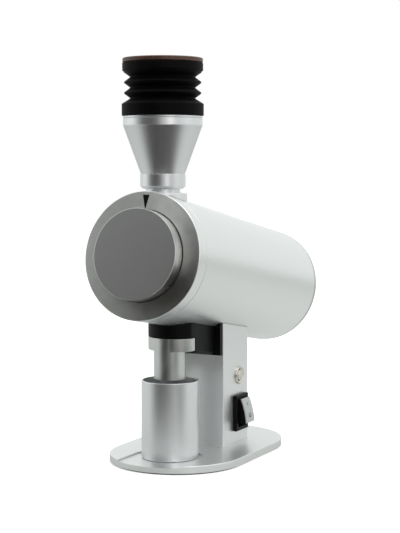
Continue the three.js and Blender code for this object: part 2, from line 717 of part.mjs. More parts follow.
add(machine, 'dial', dial(), GREY_ALUMINIUM);
add(machine, 'burr_carrier', burrCarrier(), ALUMINIUM);
add(machine, 'fixed_burr', burr(BURR_FACE, fixedBurrBack), STEEL);
burrScrewAngles.forEach((a, i) => (
  add(machine, `fixed_burr_screw_${i + 1}`, burrScrew(BURR_FACE, 1, a), STEEL)));
add(machine, 'preload_spring', preloadSpring(), STEEL);

// ---- Grind chamber, shaft and turning burr -----------------------------------------------

const bearingFront = CHAMBER_BACK + CHAMBER_BACK_T + 1.3;
const bearingBack = bearingFront + BEARING_W;
const hubR = BEARING_D / 2 + BEARING_WALL;

function grindChamber() {
  const front = RING_FACE_T + GAP;
  const back = CHAMBER_BACK + CHAMBER_BACK_T;
  const seatR = BEARING_D / 2 + GAP;
  const sealR = SEAL_D / 2 + GAP;
  const barrel = aboutY([[chamberBoreR, front], [chamberR, front], [chamberR, back], [hubR, back],
    [hubR, bearingBack + 3], [seatR, bearingBack + 3], [seatR, bearingFront - GAP],
    [sealR, bearingFront - GAP], [sealR, CHAMBER_BACK], [chamberBoreR, CHAMBER_BACK]]);
  return cut(barrel, inletHole, outletHole);
}

function rotorCarrier() {
  const front = rotorBurrBack + GAP;
  const back = front + 6.4;
  const hubBack = CHAMBER_BACK - 1;
  const discR = burrR + 0.8;
  const hub = SEAL_D / 2 - 1;
  const bore = shaftR + PRESSED;
  const disc = aboutY([[bore, front], [discR, front], [discR, back], [hub, back], [hub, hubBack],
    [bore, hubBack]]);
  const sweeps = around(SWEEPS, (a) => {
    const sweep = new THREE.BoxGeometry(8, back - front - 0.4, chamberBoreR - burrR + 3);
    sweep.translate(0, (front + back) / 2, (chamberBoreR + burrR) / 2 - 2.5);
    sweep.rotateY(a);
    return solid(sweep);
  });
  const holes = burrScrewAngles.map((a) => (
    axialRod(BURR_SCREW.shank + GAP, front - PAST, back + PAST, burrScrewR, a)));
  return cut(joined(disc, ...sweeps), ...holes);
}

const shaftFront = CARRIER_FRONT + CARRIER_PLATE + 8;
const motorBack = MOTOR_FRONT + MOTOR_LEN;
const rearBearingFront = motorBack + 1;
const rearBearingBack = rearBearingFront + REAR_BEARING_W;
const augerBoltLen = 12;

function burrShaft() {
  const tailR = TAIL_D / 2;
  const shoulder = motorBack - 2;
  const tapped = rod(AUGER_BOLT.shank + GAP, shaftFront - PAST, shaftFront + augerBoltLen + PAST);
  const shaft = aboutY([[0, shaftFront], [shaftR, shaftFront], [shaftR, shoulder], [tailR, shoulder],
    [tailR, rearBearingBack], [0, rearBearingBack]]);
  return cut(shaft, aboutY(tapped));
}

// Draws the beans from under the inlet into the eye of the fixed burr.
function auger() {
  const back = rotorBurrBack;
  const hub = aboutY(pipe(shaftR + 4, shaftR + PRESSED, shaftFront + 1, back));
  const vanes = around(VANES, (a) => {
    const vane = new THREE.BoxGeometry(3, back - shaftFront - 8, burrBoreR - shaftR - 6);
    vane.rotateZ(0.5);
    vane.translate(0, (shaftFront + back) / 2, (burrBoreR + shaftR) / 2 - 1);
    vane.rotateY(a);
    return solid(vane);
  });
  return joined(hub, ...vanes);
}

function augerBolt() {
  return aboutY(screw(AUGER_BOLT, shaftFront - SEAT - AUGER_BOLT.headH, shaftFront + augerBoltLen));
}

add(machine, 'grind_chamber', grindChamber(), ALUMINIUM);
const shaftSeal = pipe(SEAL_D / 2, shaftR + RUN, CHAMBER_BACK + RUN, CHAMBER_BACK + CHAMBER_BACK_T);
add(machine, 'shaft_seal', aboutY(shaftSeal), RUBBER);
add(machine, 'front_bearing', aboutY(pipe(BEARING_D / 2, shaftR + GAP, bearingFront, bearingBack)), STEEL);
add(machine, 'rotating_burr', burr(rotorFace, rotorBurrBack), STEEL);
add(machine, 'rotor_carrier', rotorCarrier(), ALUMINIUM);
burrScrewAngles.forEach((a, i) => (
  add(machine, `rotating_burr_screw_${i + 1}`, burrScrew(rotorFace, -1, a), STEEL)));
add(machine, 'burr_shaft', burrShaft(), STEEL);
add(machine, 'auger', auger(), ALUMINIUM);
add(machine, 'auger_bolt', augerBolt(), STEEL);

// ---- Motor -------------------------------------------------------------------------------

function motorMount() {
  const bore = hubR + GAP;
  const front = MOTOR_FRONT - MOUNT_T;
  const opening = (a) => axialRod(8, front - PAST, MOTOR_FRONT + PAST, (tubeBoreR + bore) / 2, a);
  const disc = aboutY(pipe(tubeBoreR - GAP, bore, front, MOTOR_FRONT - GAP));
  return cut(disc, ...around(MOUNT_OPENINGS, opening));
}

function motorCan() {
  const r = MOTOR_D / 2;
  return aboutY([[shaftR + 2, MOTOR_FRONT], [r, MOTOR_FRONT], [r, motorBack], [r - MOTOR_WALL, motorBack],
    [r - MOTOR_WALL, MOTOR_FRONT + MOTOR_WALL], [shaftR + 2, MOTOR_FRONT + MOTOR_WALL]]);
}

function motorEndCap() {
  const r = MOTOR_D / 2;
  const front = motorBack + GAP;
  const bore = REAR_BEARING_D / 2 + GAP;
  const hubBack = front + REAR_BEARING_W + 1;
  return aboutY([[bore, front], [r, front], [r, front + END_CAP_T], [bore + 5, front + END_CAP_T],
    [bore + 5, hubBack], [bore, hubBack]]);
}

const stackMid = MOTOR_FRONT + MOTOR_LEN / 2;
const stackFrom = stackMid - STATOR_LEN / 2;
const stackTo = stackMid + STATOR_LEN / 2;
const statorR = MOTOR_D / 2 - MOTOR_WALL - GAP;
const rearBearing = pipe(REAR_BEARING_D / 2, TAIL_D / 2 + GAP, rearBearingFront, rearBearingBack);

add(machine, 'motor_mount', motorMount(), ALUMINIUM);
add(machine, 'motor_can', motorCan(), BLACK_PLASTIC);
add(machine, 'motor_end_cap', motorEndCap(), ALUMINIUM);
add(machine, 'stator', aboutY(pipe(statorR, ROTOR_D / 2 + RUN, stackFrom, stackTo)), COPPER);
add(machine, 'motor_rotor', aboutY(pipe(ROTOR_D / 2, shaftR + PRESSED, stackFrom, stackTo)), STEEL);
add(machine, 'rear_bearing', aboutY(rearBearing), STEEL);

// ---- Chute housing and spout -------------------------------------------------------------

const noseHalf = NOSE_W / 2;
const noseCentreY = NOSE_ARC_R - NOSE_REACH;
const noseShoulder = Math.asin(noseHalf / NOSE_ARC_R);

// Round-fronted plan with straight sides that run back to y = back.
function nosePlan(back) {
  const plan = new THREE.Shape();
  plan.moveTo(noseHalf, back);
  plan.lineTo(-noseHalf, back);
  plan.absarc(0, noseCentreY, NOSE_ARC_R, -Math.PI / 2 - noseShoulder, -Math.PI / 2 + noseShoulder);
  return plan;
}

function chuteHousing() {
  const topZ = axisZ - tubeR * 0.8;
  const back = COLUMN_FRONT - GAP;
  const front = FLANGE_BACK + 1.5;
  const floor = tubeR + HOUSING_DROP;
  const nose = upright(nosePlan(back), flangeTopZ + SEAT, topZ);
  const rear = box(NOSE_W, back - front, 90, 0, (front + back) / 2, topZ - 45);
  const pad = box(COLUMN_W - 1, HOUSING_PAD, 90, 0, back - HOUSING_PAD / 2, topZ - 45);
  const below = levelled(box(2 * BASE_W, 2 * BASE_L, 60, 0, BASE_L / 2, -floor - 30));
  return cut(
    joined(nose, cut(joined(rear, pad), below)),
    tubeEnvelope,
    aboutZ(rod(spoutBoreR, flangeBottomZ, axisZ)),
    aboutZ(rod(SPOUT_D / 2 + SPOUT_RECESS, spoutEndZ, flangeTopZ + SEAT)),
    ...spoutScrewX.map((x) => (
      aboutZ(rod(SPOUT_SCREW.shank + GAP, flangeTopZ - PAST, spoutScrewEnd + PAST), x, 0))),
  );
}

const spoutScrewX = [-noseHalf + 4.6, noseHalf - 4.6];
const spoutScrewEnd = flangeTopZ + SCREW_THREAD;

function spout() {
  const tubeWallR = SPOUT_D / 2;
  const top = flangeTopZ - SEAT;
  const flange = upright(nosePlan(FLANGE_BACK), flangeBottomZ, top);
  const seat = flangeBottomZ + SPOUT_SCREW.headH + 2 * GAP;
  const holes = spoutScrewX.flatMap((x) => [
    aboutZ(rod(SPOUT_SCREW.shank + GAP, flangeBottomZ - PAST, top + PAST), x, 0),
    aboutZ(rod(SPOUT_SCREW.head + GAP, flangeBottomZ - PAST, seat), x, 0),
  ]);
  const tubePart = aboutZ([[0, spoutEndZ], [tubeWallR, spoutEndZ], [tubeWallR, top], [0, top]]);
  return cut(joined(flange, tubePart), aboutZ(rod(spoutBoreR, spoutEndZ - PAST, top + PAST)), ...holes);
}

const spoutScrew = (x) => aboutZ(screw(SPOUT_SCREW, flangeBottomZ + GAP, spoutScrewEnd), x, 0);

add(group, 'chute_housing', chuteHousing(), BLACK_PLASTIC);
add(group, 'spout', spout(), ALUMINIUM);
spoutScrewX.forEach((x, i) => add(group, `spout_screw_${i + 1}`, spoutScrew(x), STEEL));

// ---- Cup ---------------------------------------------------------------------------------

function cup() {
  const r = CUP_D / 2;
  const bottom = cupFloorZ + SEAT;
  const inner = r - CUP_WALL;
  const floor = bottom + CUP_FLOOR;
  return aboutZ([[0, bottom], [r - CUP_EDGE, bottom], [r, bottom + CUP_EDGE], [r, cupTopZ - CUP_LIP],
    [r - CUP_LIP, cupTopZ], [inner + CUP_LIP, cupTopZ], [inner, cupTopZ - CUP_LIP],
    [inner, floor + CUP_FILLET], [inner - CUP_FILLET, floor], [0, floor]]);
}

add(group, 'cup', cup(), ALUMINIUM);

// ---- Hopper, bellows and lid -------------------------------------------------------------

function inletBoss() {
  const neckBottom = spigotBottomZ - NECK_DROP;
  const step = spigotBottomZ - SEAT;
  const collar = cut(aboutZ(rod(BOSS_D / 2, axisZ, bossTopZ), 0, hopperY), tubeEnvelope);
  const neck = aboutZ(rod(BOSS_NECK_D / 2, neckBottom, bossTopZ), 0, hopperY);
  return cut(
    joined(collar, neck),
    aboutZ(rod(SPIGOT_D / 2 + GAP, step, bossTopZ + PAST), 0, hopperY),
    aboutZ(rod(INLET_BORE_D / 2, neckBottom - PAST, bossTopZ), 0, hopperY),
    levelled(aboutY(rod(carrierR + 2 * RUN, 0, MOTOR_FRONT))),
  );
}

function hopperFunnel() {
  const spigotR = SPIGOT_D / 2;
  const boreR = spigotR - SPIGOT_WALL;
  const collarR = COLLAR_D / 2;
  const rimR = RIM_D / 2;
  const lipR = LIP_D / 2;
  const lipTop = rimTopZ + LIP_H;
  const slope = FUNNEL_WALL * Math.hypot(1, (rimR - collarR) / CONE_H); // the cone's wall, measured level
  return aboutZ([[boreR, spigotBottomZ], [spigotR, spigotBottomZ], [spigotR, collarBottomZ],
    [collarR - COLLAR_CHAMFER, collarBottomZ], [collarR, collarBottomZ + COLLAR_CHAMFER],
    [collarR, coneBottomZ], [rimR, rimBottomZ], [rimR, rimTopZ], [lipR, rimTopZ], [lipR, lipTop],
    [lipR - LIP_WALL, lipTop], [lipR - LIP_WALL, rimBottomZ - 2], [collarR - slope, coneBottomZ - 1],
    [boreR, coneBottomZ - 6]], 0, hopperY);
}

// Folds between a wide lower band and the head band.
function bellows() {
  const bottom = bellowsBottomZ;
  const top = bellowsTopZ;
  const foldFrom = bottom + BAND_H;
  const foldTo = top - HEAD_BAND_H;
  const turns = 2 * FOLDS + 1;
  const step = (foldTo - foldFrom) / (turns + 1);
  const zigzag = Array.from({ length: turns }, (_, i) => (
    [(i % 2 ? CREST_D : ROOT_D) / 2, foldFrom + step * (i + 1)]));
  const outer = [[BAND_D / 2, bottom], [BAND_D / 2, foldFrom], ...zigzag, [HEAD_BAND_D / 2, foldTo],
    [HEAD_BAND_D / 2, top]];
  const bandBore = LIP_D / 2 + GAP;
  const headBore = HEAD_BAND_D / 2 - HEAD_BAND_WALL;
  const folded = zigzag.map(([r, z]) => [r - BELLOWS_WALL, z]).reverse();
  const inner = [[headBore, top], [headBore, foldTo], ...folded, [bandBore, foldFrom], [bandBore, bottom]];
  return aboutZ([...outer, ...inner], 0, hopperY);
}

const headRingR = HEAD_BAND_D / 2 - HEAD_BAND_WALL - GAP;
const plugR = headRingR - HEAD_RING_WALL - GAP;
const lidSealZ = lidBottomZ - SEAL_UP;

function lid() {
  const r = LID_D / 2;
  const plugBottom = lidBottomZ - PLUG_H;
  const groove = plugR - SEAL_GROOVE;
  return aboutZ([[0, plugBottom], [plugR, plugBottom], [plugR, lidSealZ - 1], [groove, lidSealZ - 1],
    [groove, lidSealZ + 1], [plugR, lidSealZ + 1], [plugR, lidBottomZ], [r, lidBottomZ],
    [r, lidBottomZ + LID_T - LID_CHAMFER], [r - LID_CHAMFER, lidBottomZ + LID_T], [0, lidBottomZ + LID_T]],
  0, hopperY);
}

const headRing = pipe(headRingR, headRingR - HEAD_RING_WALL, bellowsTopZ - HEAD_RING_H, bellowsTopZ - SEAT);
const lidSeal = pipe(plugR + 0.1, plugR - 1.2, lidSealZ - 0.8, lidSealZ + 0.8);

add(group, 'inlet_boss', inletBoss(), ALUMINIUM);
add(group, 'hopper_funnel', hopperFunnel(), ALUMINIUM);
add(group, 'bellows', bellows(), SILICONE);
add(group, 'bellows_head_ring', aboutZ(headRing, 0, hopperY), BLACK_PLASTIC);
add(group, 'lid', lid(), WALNUT);
add(group, 'lid_seal', aboutZ(lidSeal, 0, hopperY), SILICONE);

export default group;
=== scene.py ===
"""Burr coffee grinder: the finished pieces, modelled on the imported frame, and a small studio."""

import json
import math

import bmesh
import bpy
from bpy.props import FloatProperty, FloatVectorProperty, IntProperty, PointerProperty
from mathutils import Matrix, Vector


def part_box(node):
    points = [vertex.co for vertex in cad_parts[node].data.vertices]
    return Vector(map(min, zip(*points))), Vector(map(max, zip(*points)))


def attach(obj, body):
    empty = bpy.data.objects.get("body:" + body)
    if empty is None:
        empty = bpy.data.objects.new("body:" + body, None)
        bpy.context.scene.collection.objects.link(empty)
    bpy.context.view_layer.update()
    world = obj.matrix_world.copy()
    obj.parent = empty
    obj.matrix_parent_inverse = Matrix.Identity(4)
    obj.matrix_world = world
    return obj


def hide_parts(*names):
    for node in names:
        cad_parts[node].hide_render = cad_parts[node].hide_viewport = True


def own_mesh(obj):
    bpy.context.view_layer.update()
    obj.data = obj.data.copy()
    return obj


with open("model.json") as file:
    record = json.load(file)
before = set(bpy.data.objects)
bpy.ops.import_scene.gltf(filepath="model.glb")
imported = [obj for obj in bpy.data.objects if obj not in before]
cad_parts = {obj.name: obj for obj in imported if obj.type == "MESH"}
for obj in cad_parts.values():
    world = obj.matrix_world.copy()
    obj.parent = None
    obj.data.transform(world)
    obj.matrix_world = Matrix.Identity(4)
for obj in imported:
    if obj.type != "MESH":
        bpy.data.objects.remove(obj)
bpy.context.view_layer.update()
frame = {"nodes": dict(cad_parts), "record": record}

bl_info = {
    "name": "Burr Coffee Grinder",
    "version": (1, 0, 0),
    "blender": (4, 5, 0),
    "location": "View3D > Sidebar > Grinder",
    "description": "Models a burr coffee grinder piece by piece on its packed frame",
    "category": "Object",
}

MM = 0.001
WELD = 2e-6

# ---- Where things are ----------------------------------------------------------------------

X, Y, Z = Vector((1, 0, 0)), Vector((0, 1, 0)), Vector((0, 0, 1))


def joint_named(name):
    return next(j for j in frame["record"]["behaviour"]["joints"] if j["name"] == name)


DIAL_JOINT = joint_named("grind_dial")
FACE_CENTRE = Vector(DIAL_JOINT["pos_m"])  # middle of the front ring's face
BACK = -Vector(DIAL_JOINT["axis"]).normalized()  # along the drive tube, away from the dial
RISE = X.cross(BACK)  # square to the tube, upwards


def span(node):
    """Lowest and highest corner of a CAD node in millimetres."""
    low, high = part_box(node)
    return low / MM, high / MM


def middle(node):
    low, high = span(node)
    return (low + high) / 2


def width(node):
    low, high = span(node)
    return high.x - low.x


HOPPER_MIDDLE = middle("hopper_funnel")
DRIVE = (FACE_CENTRE, BACK, RISE)
CUP_AXIS = (Vector(), Z, X)
HOPPER_AXIS = (Vector((0, HOPPER_MIDDLE.y * MM, 0)), Z, X)


def axis_through(x, y, z, along, across):
    return Vector((x, y, z)) * MM, along, across


def along_drive(node):
    """Where a node starts and ends along the drive tube, in millimetres behind the ring's face."""
    places = [(v.co - FACE_CENTRE).dot(BACK) / MM for v in frame_node(node).data.vertices]
    return min(places), max(places)


def frame_node(node):
    found = frame["nodes"]
    return found[node] if isinstance(found, dict) else bpy.data.objects[node]


# ---- Sizes and colours a user would change ---------------------------------------------------


def millimetres(name, description, default, low=0.01, high=400.0):
    return FloatProperty(
        name=name, description=description, default=default, min=low, max=high, unit="NONE"
    )


def colour(name, description, value):
    return FloatVectorProperty(
        name=name, description=description, default=linear(value), size=4, subtype="COLOR",
        min=0, max=1,
    )


def linear(value):
    """A hex sRGB colour as linear red, green, blue and alpha."""
    parts = [int(value[i : i + 2], 16) / 255 for i in (0, 2, 4)]
    return tuple(c / 12.92 if c <= 0.04045 else ((c + 0.055) / 1.055) ** 2.4 for c in parts) + (1.0,)


class GrinderSizes(bpy.types.PropertyGroup):
    """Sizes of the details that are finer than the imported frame, in millimetres."""

    plate_edge: millimetres("Plate edge", "Radius on the base plate's edges", 0.7)
    column_edge: millimetres("Column edge", "Radius on the column's upright edges", 1.2)
    ring_edge: millimetres("Ring edge", "Chamfer on the front ring's rim", 0.9)
    dial_edge: millimetres("Dial edge", "Chamfer round the dial's face", 1.1)
    tick_depth: millimetres("Tick depth", "Depth of the dial's engraved ticks", 0.22)
    tick_length: millimetres("Tick length", "Length of the dial's engraved ticks", 5.6)
    fold_radius: millimetres("Fold radius", "Radius on the crests of the bellows", 1.1)
    lid_edge: millimetres("Lid edge", "Radius on the lid's upper edge", 1.2)
    rim_groove: millimetres("Rim groove", "Width and depth of the hopper rim's groove", 0.55)
    housing_chamfer: millimetres("Housing chamfer", "Chamfer along the chute housing's foot", 3.0)
    ticks: IntProperty(
        name="Ticks", description="Engraved ticks round the dial", default=176, min=12, max=360
    )


class GrinderColours(bpy.types.PropertyGroup):
    """Base colours of the finishes."""

    aluminium: colour("Aluminium", "Bead-blasted, clear-anodised aluminium", "C8CAC8")
    grey_aluminium: colour("Grey aluminium", "Grey-anodised ring and dial", "C8C8C6")
    steel: colour("Steel", "Polished stainless steel", "D6D2CA")
    moulding: colour("Moulding", "Black moulded plastic", "0B0B0C")
    silicone: colour("Silicone", "Black silicone of the bellows", "060606")
    rubber: colour("Rubber", "Black rubber of the mat", "151617")
    gasket: colour("Gasket", "Teal gasket behind the tube", "2F4E50")
    walnut: colour("Walnut", "Heartwood of the lid", "5C3D2E")
    rocker_face: colour("Rocker face", "Silver plastic of the rocker", "B4B6B5")


def sizes():
    return bpy.context.scene.grinder_sizes


def colours():
    return bpy.context.scene.grinder_colours


# ---- Modelling by hand -----------------------------------------------------------------------


def clear_selection():
    if bpy.context.object and bpy.context.object.mode != "OBJECT":
        bpy.ops.object.mode_set(mode="OBJECT")
    bpy.ops.object.select_all(action="DESELECT")


def work_on(piece):
    clear_selection()
    piece.select_set(True)
    bpy.context.view_layer.objects.active = piece


def edit(piece):
    work_on(piece)
    bpy.ops.object.mode_set(mode="EDIT")


def pick_faces(piece, wanted):
    """Selects the faces whose middle and normal pass a test, in edit mode."""
    bpy.ops.mesh.select_mode(type="FACE")
    bpy.ops.mesh.select_all(action="DESELECT")
    mesh = bmesh.from_edit_mesh(piece.data)
    for face in mesh.faces:
        face.select = wanted(face.calc_center_median(), face.normal)
    mesh.select_flush_mode()
    bmesh.update_edit_mesh(piece.data)


def pick_edges(piece, wanted):
    """Selects the edges whose middle and direction pass a test, in edit mode."""
    bpy.ops.mesh.select_mode(type="EDGE")
    bpy.ops.mesh.select_all(action="DESELECT")
    mesh = bmesh.from_edit_mesh(piece.data)
    for edge in mesh.edges:
        a, b = (v.co for v in edge.verts)
        edge.select = wanted((a + b) / 2, (b - a).normalized())
    mesh.select_flush_mode()
    bmesh.update_edit_mesh(piece.data)
    bpy.ops.mesh.select_mode(type="EDGE")


def close_up():
    """Merges doubles, turns the faces outwards and leaves edit mode."""
    bpy.ops.mesh.select_mode(type="VERT")
    bpy.ops.mesh.select_all(action="SELECT")
    bpy.ops.mesh.remove_doubles(threshold=WELD)
    bpy.ops.mesh.normals_make_consistent(inside=False)
    bpy.ops.object.mode_set(mode="OBJECT")


def softened(corners, closed):
    """Corners are (a, b) or (a, b, radius) or (a, b, radius, steps): one step makes a chamfer."""
    done = []
    for i, corner in enumerate(corners):
        here = Vector(corner[:2])
        ends = not closed and i in (0, len(corners) - 1)
        if len(corner) == 2 or ends:
            done.append(here)
            continue
        radius = corner[2]
        steps = corner[3] if len(corner) > 3 else 4
        before = (Vector(corners[i - 1][:2]) - here).normalized()
        after = (Vector(corners[(i + 1) % len(corners)][:2]) - here).normalized()
        half = before.angle(after) / 2
        reach = radius if steps == 1 else radius / math.tan(half)
        start, end = here + before * reach, here + after * reach
        if steps == 1:
            done += [start, end]
            continue
        hub = here + (before + after).normalized() * radius / math.sin(half)
        for k in range(steps + 1):
            spoke = (start - hub).normalized().slerp((end - hub).normalized(), k / steps)
            done.append(hub + spoke * radius)
    return done


def traced(name, route, closed):
    """Pulls one vertex along a route of points by extrusion, and stays in edit mode."""
    clear_selection()
    bpy.ops.mesh.primitive_plane_add(size=MM, location=(0, 0, 0))
    piece = bpy.context.object
    piece.name = piece.data.name = name
    bpy.ops.object.mode_set(mode="EDIT")
    bpy.ops.mesh.select_mode(type="VERT")
    bpy.ops.mesh.merge(type="CENTER")
    bpy.ops.transform.translate(value=route[0])
    stops = route + [route[0]] if closed else route
    for here, there in zip(stops, stops[1:]):
        bpy.ops.mesh.extrude_vertices_move(TRANSFORM_OT_translate={"value": there - here})
    bpy.ops.mesh.select_all(action="SELECT")
    if closed:
        bpy.ops.mesh.remove_doubles(threshold=WELD)
    return piece


def turned(name, corners, axis, steps=128):
    """Spins a profile of (radius, distance) corners about an axis, as on a lathe."""
    hub, along, across = axis
    closed = corners[0][0] > 0
    route = [hub + (across * r + along * h) * MM for r, h in softened(corners, closed)]
    piece = traced(name, route, closed)
    bpy.ops.mesh.spin(steps=steps, angle=math.tau, center=hub, axis=along)
    close_up()
    return piece


def raised(name, corners, place):
    """Fills an outline and extrudes it. place is (start, across, up, extrusion) as vectors in mm."""
    start, across, up, rise = place
    route = [(start + across * a + up * b) * MM for a, b in softened(corners, True)]
    piece = traced(name, route, True)
    bpy.ops.mesh.edge_face_add()
    bpy.ops.mesh.extrude_region_move(TRANSFORM_OT_translate={"value": rise * MM})
    close_up()
    return piece


def block(name, low, high, edges=None, radius=0.0, segments=3):
    """A cube stretched between two corners in millimetres, the chosen edges rounded."""
    clear_selection()
    low, high = Vector(low), Vector(high)
    bpy.ops.mesh.primitive_cube_add(size=1, location=(low + high) / 2 * MM, scale=(high - low) * MM)
    piece = bpy.context.object
    piece.name = piece.data.name = name
    bpy.ops.object.transform_apply(location=True, rotation=True, scale=True)
    if edges:
        round_edges(piece, edges, radius, segments)
    return piece


def round_edges(piece, wanted, radius, segments=3):
    """Bevels the edges that pass a test of their middle (in millimetres) and direction."""
    edit(piece)
    pick_edges(piece, lambda at, way: wanted(at / MM, way))
    bpy.ops.mesh.bevel(offset=radius * MM, segments=segments, affect="EDGES", clamp_overlap=True)
    close_up()


def every_edge(at, way):
    return True


def carved(piece, *tools, operation="DIFFERENCE"):
    """Cuts the tools out of a piece, or joins them to it, with a boolean modifier."""
    for tool in tools:
        work_on(piece)
        change = piece.modifiers.new("Carve", "BOOLEAN")
        change.operation = operation
        change.solver = "EXACT"
        change.object = tool
        bpy.ops.object.modifier_apply(modifier=change.name)
        bpy.data.meshes.remove(tool.data)
    return piece


def bevelled(piece, radius, segments=3, angle=35):
    """Rounds every sharp edge of a piece with a bevel modifier."""
    work_on(piece)
    change = piece.modifiers.new("Edges", "BEVEL")
    change.width = radius * MM
    change.segments = segments
    change.limit_method = "ANGLE"
    change.angle_limit = math.radians(angle)
    change.use_clamp_overlap = True
    bpy.ops.object.modifier_apply(modifier=change.name)
    return piece


def rod(radius, low, high, axis, steps=96):
    """A cutter: a plain cylinder along an axis."""
    return turned("cutter", [(0, low), (radius, low), (radius, high), (0, high)], axis, steps)


def finished(piece, body, nodes, surfaces, angle=32):
    """Shades a piece, gives it its finish, and hands it to the frame."""
    work_on(piece)
    bpy.ops.object.transform_apply(location=True, rotation=True, scale=True)
    bpy.ops.object.shade_smooth_by_angle(angle=math.radians(angle))
    weigh = piece.modifiers.new("Even shading", "WEIGHTED_NORMAL")
    weigh.keep_sharp = True
    bpy.ops.object.modifier_apply(modifier=weigh.name)
    if not piece.data.materials:
        for surface in surfaces:
            piece.data.materials.append(surface)
    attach(piece, body)
    if nodes:
        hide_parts(*nodes)
    return piece


def copied(piece, name, move):
    """A copy with its own mesh, moved by a vector in millimetres."""
    work_on(piece)
    bpy.ops.object.duplicate(linked=False)
    copy = bpy.context.object
    copy.name = copy.data.name = name
    bpy.ops.transform.translate(value=move * MM)
    bpy.ops.object.transform_apply(location=True, rotation=True, scale=True)
    return copy


# ---- Finishes --------------------------------------------------------------------------------


def add_node(tree, kind, inputs=None, **settings):
    """Adds a node, sets its properties, and sets or links its inputs."""
    node = tree.nodes.new(kind)
    for key, value in settings.items():
        setattr(node, key, value)
    for socket, value in (inputs or {}).items():
        if isinstance(value, bpy.types.NodeSocket):
            tree.links.new(value, node.inputs[socket])
        else:
            node.inputs[socket].default_value = value
    return node


def blank(name):
    """A new material with only its output, or None if it was made before."""
    if name in bpy.data.materials:
        return None
    material = bpy.data.materials.new(name)
    material.use_nodes = True
    material.node_tree.nodes.clear()
    return material


def per_mm(size):
    """A texture scale that gives features of a size in millimetres."""
    return 1 / (size * MM)


def shades(tree, factor, dark, light, low=0.35, high=0.65):
    """Mixes two linear colours over a stretch of a pattern."""
    ramp = add_node(tree, "ShaderNodeMapRange", {0: factor, 1: low, 2: high})
    return add_node(
        tree, "ShaderNodeMix", {0: ramp.outputs[0], 6: dark, 7: light}, data_type="RGBA"
    ).outputs[2]


def scaled(shade, by):
    return tuple(c * by for c in shade[:3]) + (1.0,)


def ranged(tree, factor, low, high):
    return add_node(
        tree, "ShaderNodeMapRange", {0: factor, 1: 0.3, 2: 0.7, 3: low, 4: high}
    ).outputs[0]


def close_tree(tree, shader_inputs):
    shader = add_node(tree, "ShaderNodeBsdfPrincipled", shader_inputs)
    add_node(tree, "ShaderNodeOutputMaterial", {0: shader.outputs[0]})


def noise(tree, vector, scale, detail=3.0, rough=0.5):
    return add_node(
        tree, "ShaderNodeTexNoise",
        {"Vector": vector, "Scale": scale, "Detail": detail, "Roughness": rough},
    ).outputs[0]


def blasted_metal(name, shade, roughness, grit=0.8, mottle=14.0, depth=0.03):
    """Metal blasted with fine beads and anodised: a soft, even grain and faint cloudiness."""
    material = blank(name)
    if material is None:
        return bpy.data.materials[name]
    tree = material.node_tree
    place = add_node(tree, "ShaderNodeTexCoord").outputs["Object"]
    grain = noise(tree, place, per_mm(grit), 2.0)  # real grit is 0.1 mm, drawn coarser to show
    cloud = noise(tree, place, per_mm(mottle), 3.0)
    bump = add_node(
        tree, "ShaderNodeBump",
        {"Strength": 0.35, "Distance": depth * MM, "Height": grain},
    )
    close_tree(tree, {
        "Base Color": shades(tree, cloud, scaled(shade, 0.94), shade),
        "Metallic": 1.0,
        "Roughness": ranged(tree, cloud, roughness - 0.03, roughness + 0.04),
        "Normal": bump.outputs[0],
    })
    return material


def aluminium():
    # Clear-anodised over a bead blast: pale, soft highlights with no sharp reflection.
    return blasted_metal("bead_blasted_aluminium", tuple(colours().aluminium), 0.38)


def grey_aluminium():
    # Dyed grey in the anodising bath, a little glossier on its chamfers.
    return blasted_metal("grey_anodised_aluminium", scaled(tuple(colours().grey_aluminium), 1.55), 0.4)


def satin_grey_aluminium():
    # The dial's wall is turned bright before the grey dye, so it is the lightest of the greys.
    return blasted_metal(
        "satin_grey_aluminium", scaled(tuple(colours().grey_aluminium), 1.2), 0.24, 0.5, 12.0, 0.01
    )


def turned_grey_aluminium():
    """Grey-anodised over fine turning marks, which stretch every highlight away from the axis."""
    material = blank("turned_grey_aluminium")
    if material is None:
        return bpy.data.materials["turned_grey_aluminium"]
    tree = material.node_tree
    place = add_node(tree, "ShaderNodeTexCoord").outputs["Object"]
    spoke = add_node(
        tree, "ShaderNodeVectorMath", {0: place, 1: FACE_CENTRE}, operation="SUBTRACT"
    ).outputs[0]
    cloud = noise(tree, place, per_mm(9), 3.0)
    # The face falls away towards the rim by a tenth of its width, so its outer edge stands back.
    reach = add_node(tree, "ShaderNodeVectorMath", {0: spoke}, operation="LENGTH").outputs["Value"]
    fall = add_node(tree, "ShaderNodeMath", {0: reach, 1: -0.1}, operation="MULTIPLY").outputs[0]
    dished = add_node(
        tree, "ShaderNodeBump", {"Strength": 1.0, "Distance": 1.0, "Height": fall}
    ).outputs[0]
    # Blast grain about 0.8 mm across, drawn coarser than the real 0.1 mm so that it shows.
    grain = noise(tree, place, per_mm(0.8), 2.0)
    bump = add_node(
        tree, "ShaderNodeBump",
        {"Strength": 0.3, "Distance": 0.02 * MM, "Height": grain, "Normal": dished},
    )
    shade = tuple(colours().grey_aluminium)
    close_tree(tree, {
        "Base Color": shades(tree, cloud, scaled(shade, 1.12), scaled(shade, 1.2)),
        "Metallic": 1.0,
        "Roughness": ranged(tree, cloud, 0.34, 0.38),
        "Anisotropic": 0.75,
        "Tangent": spoke,
        "Normal": bump.outputs[0],
    })
    return material


def satin_aluminium():
    # Turned and lightly blasted: closer grain than the housing, sharper light and dark bands.
    return blasted_metal(
        "machined_aluminium", scaled(tuple(colours().aluminium), 0.9), 0.165, 0.6, 20.0, 0.01
    )


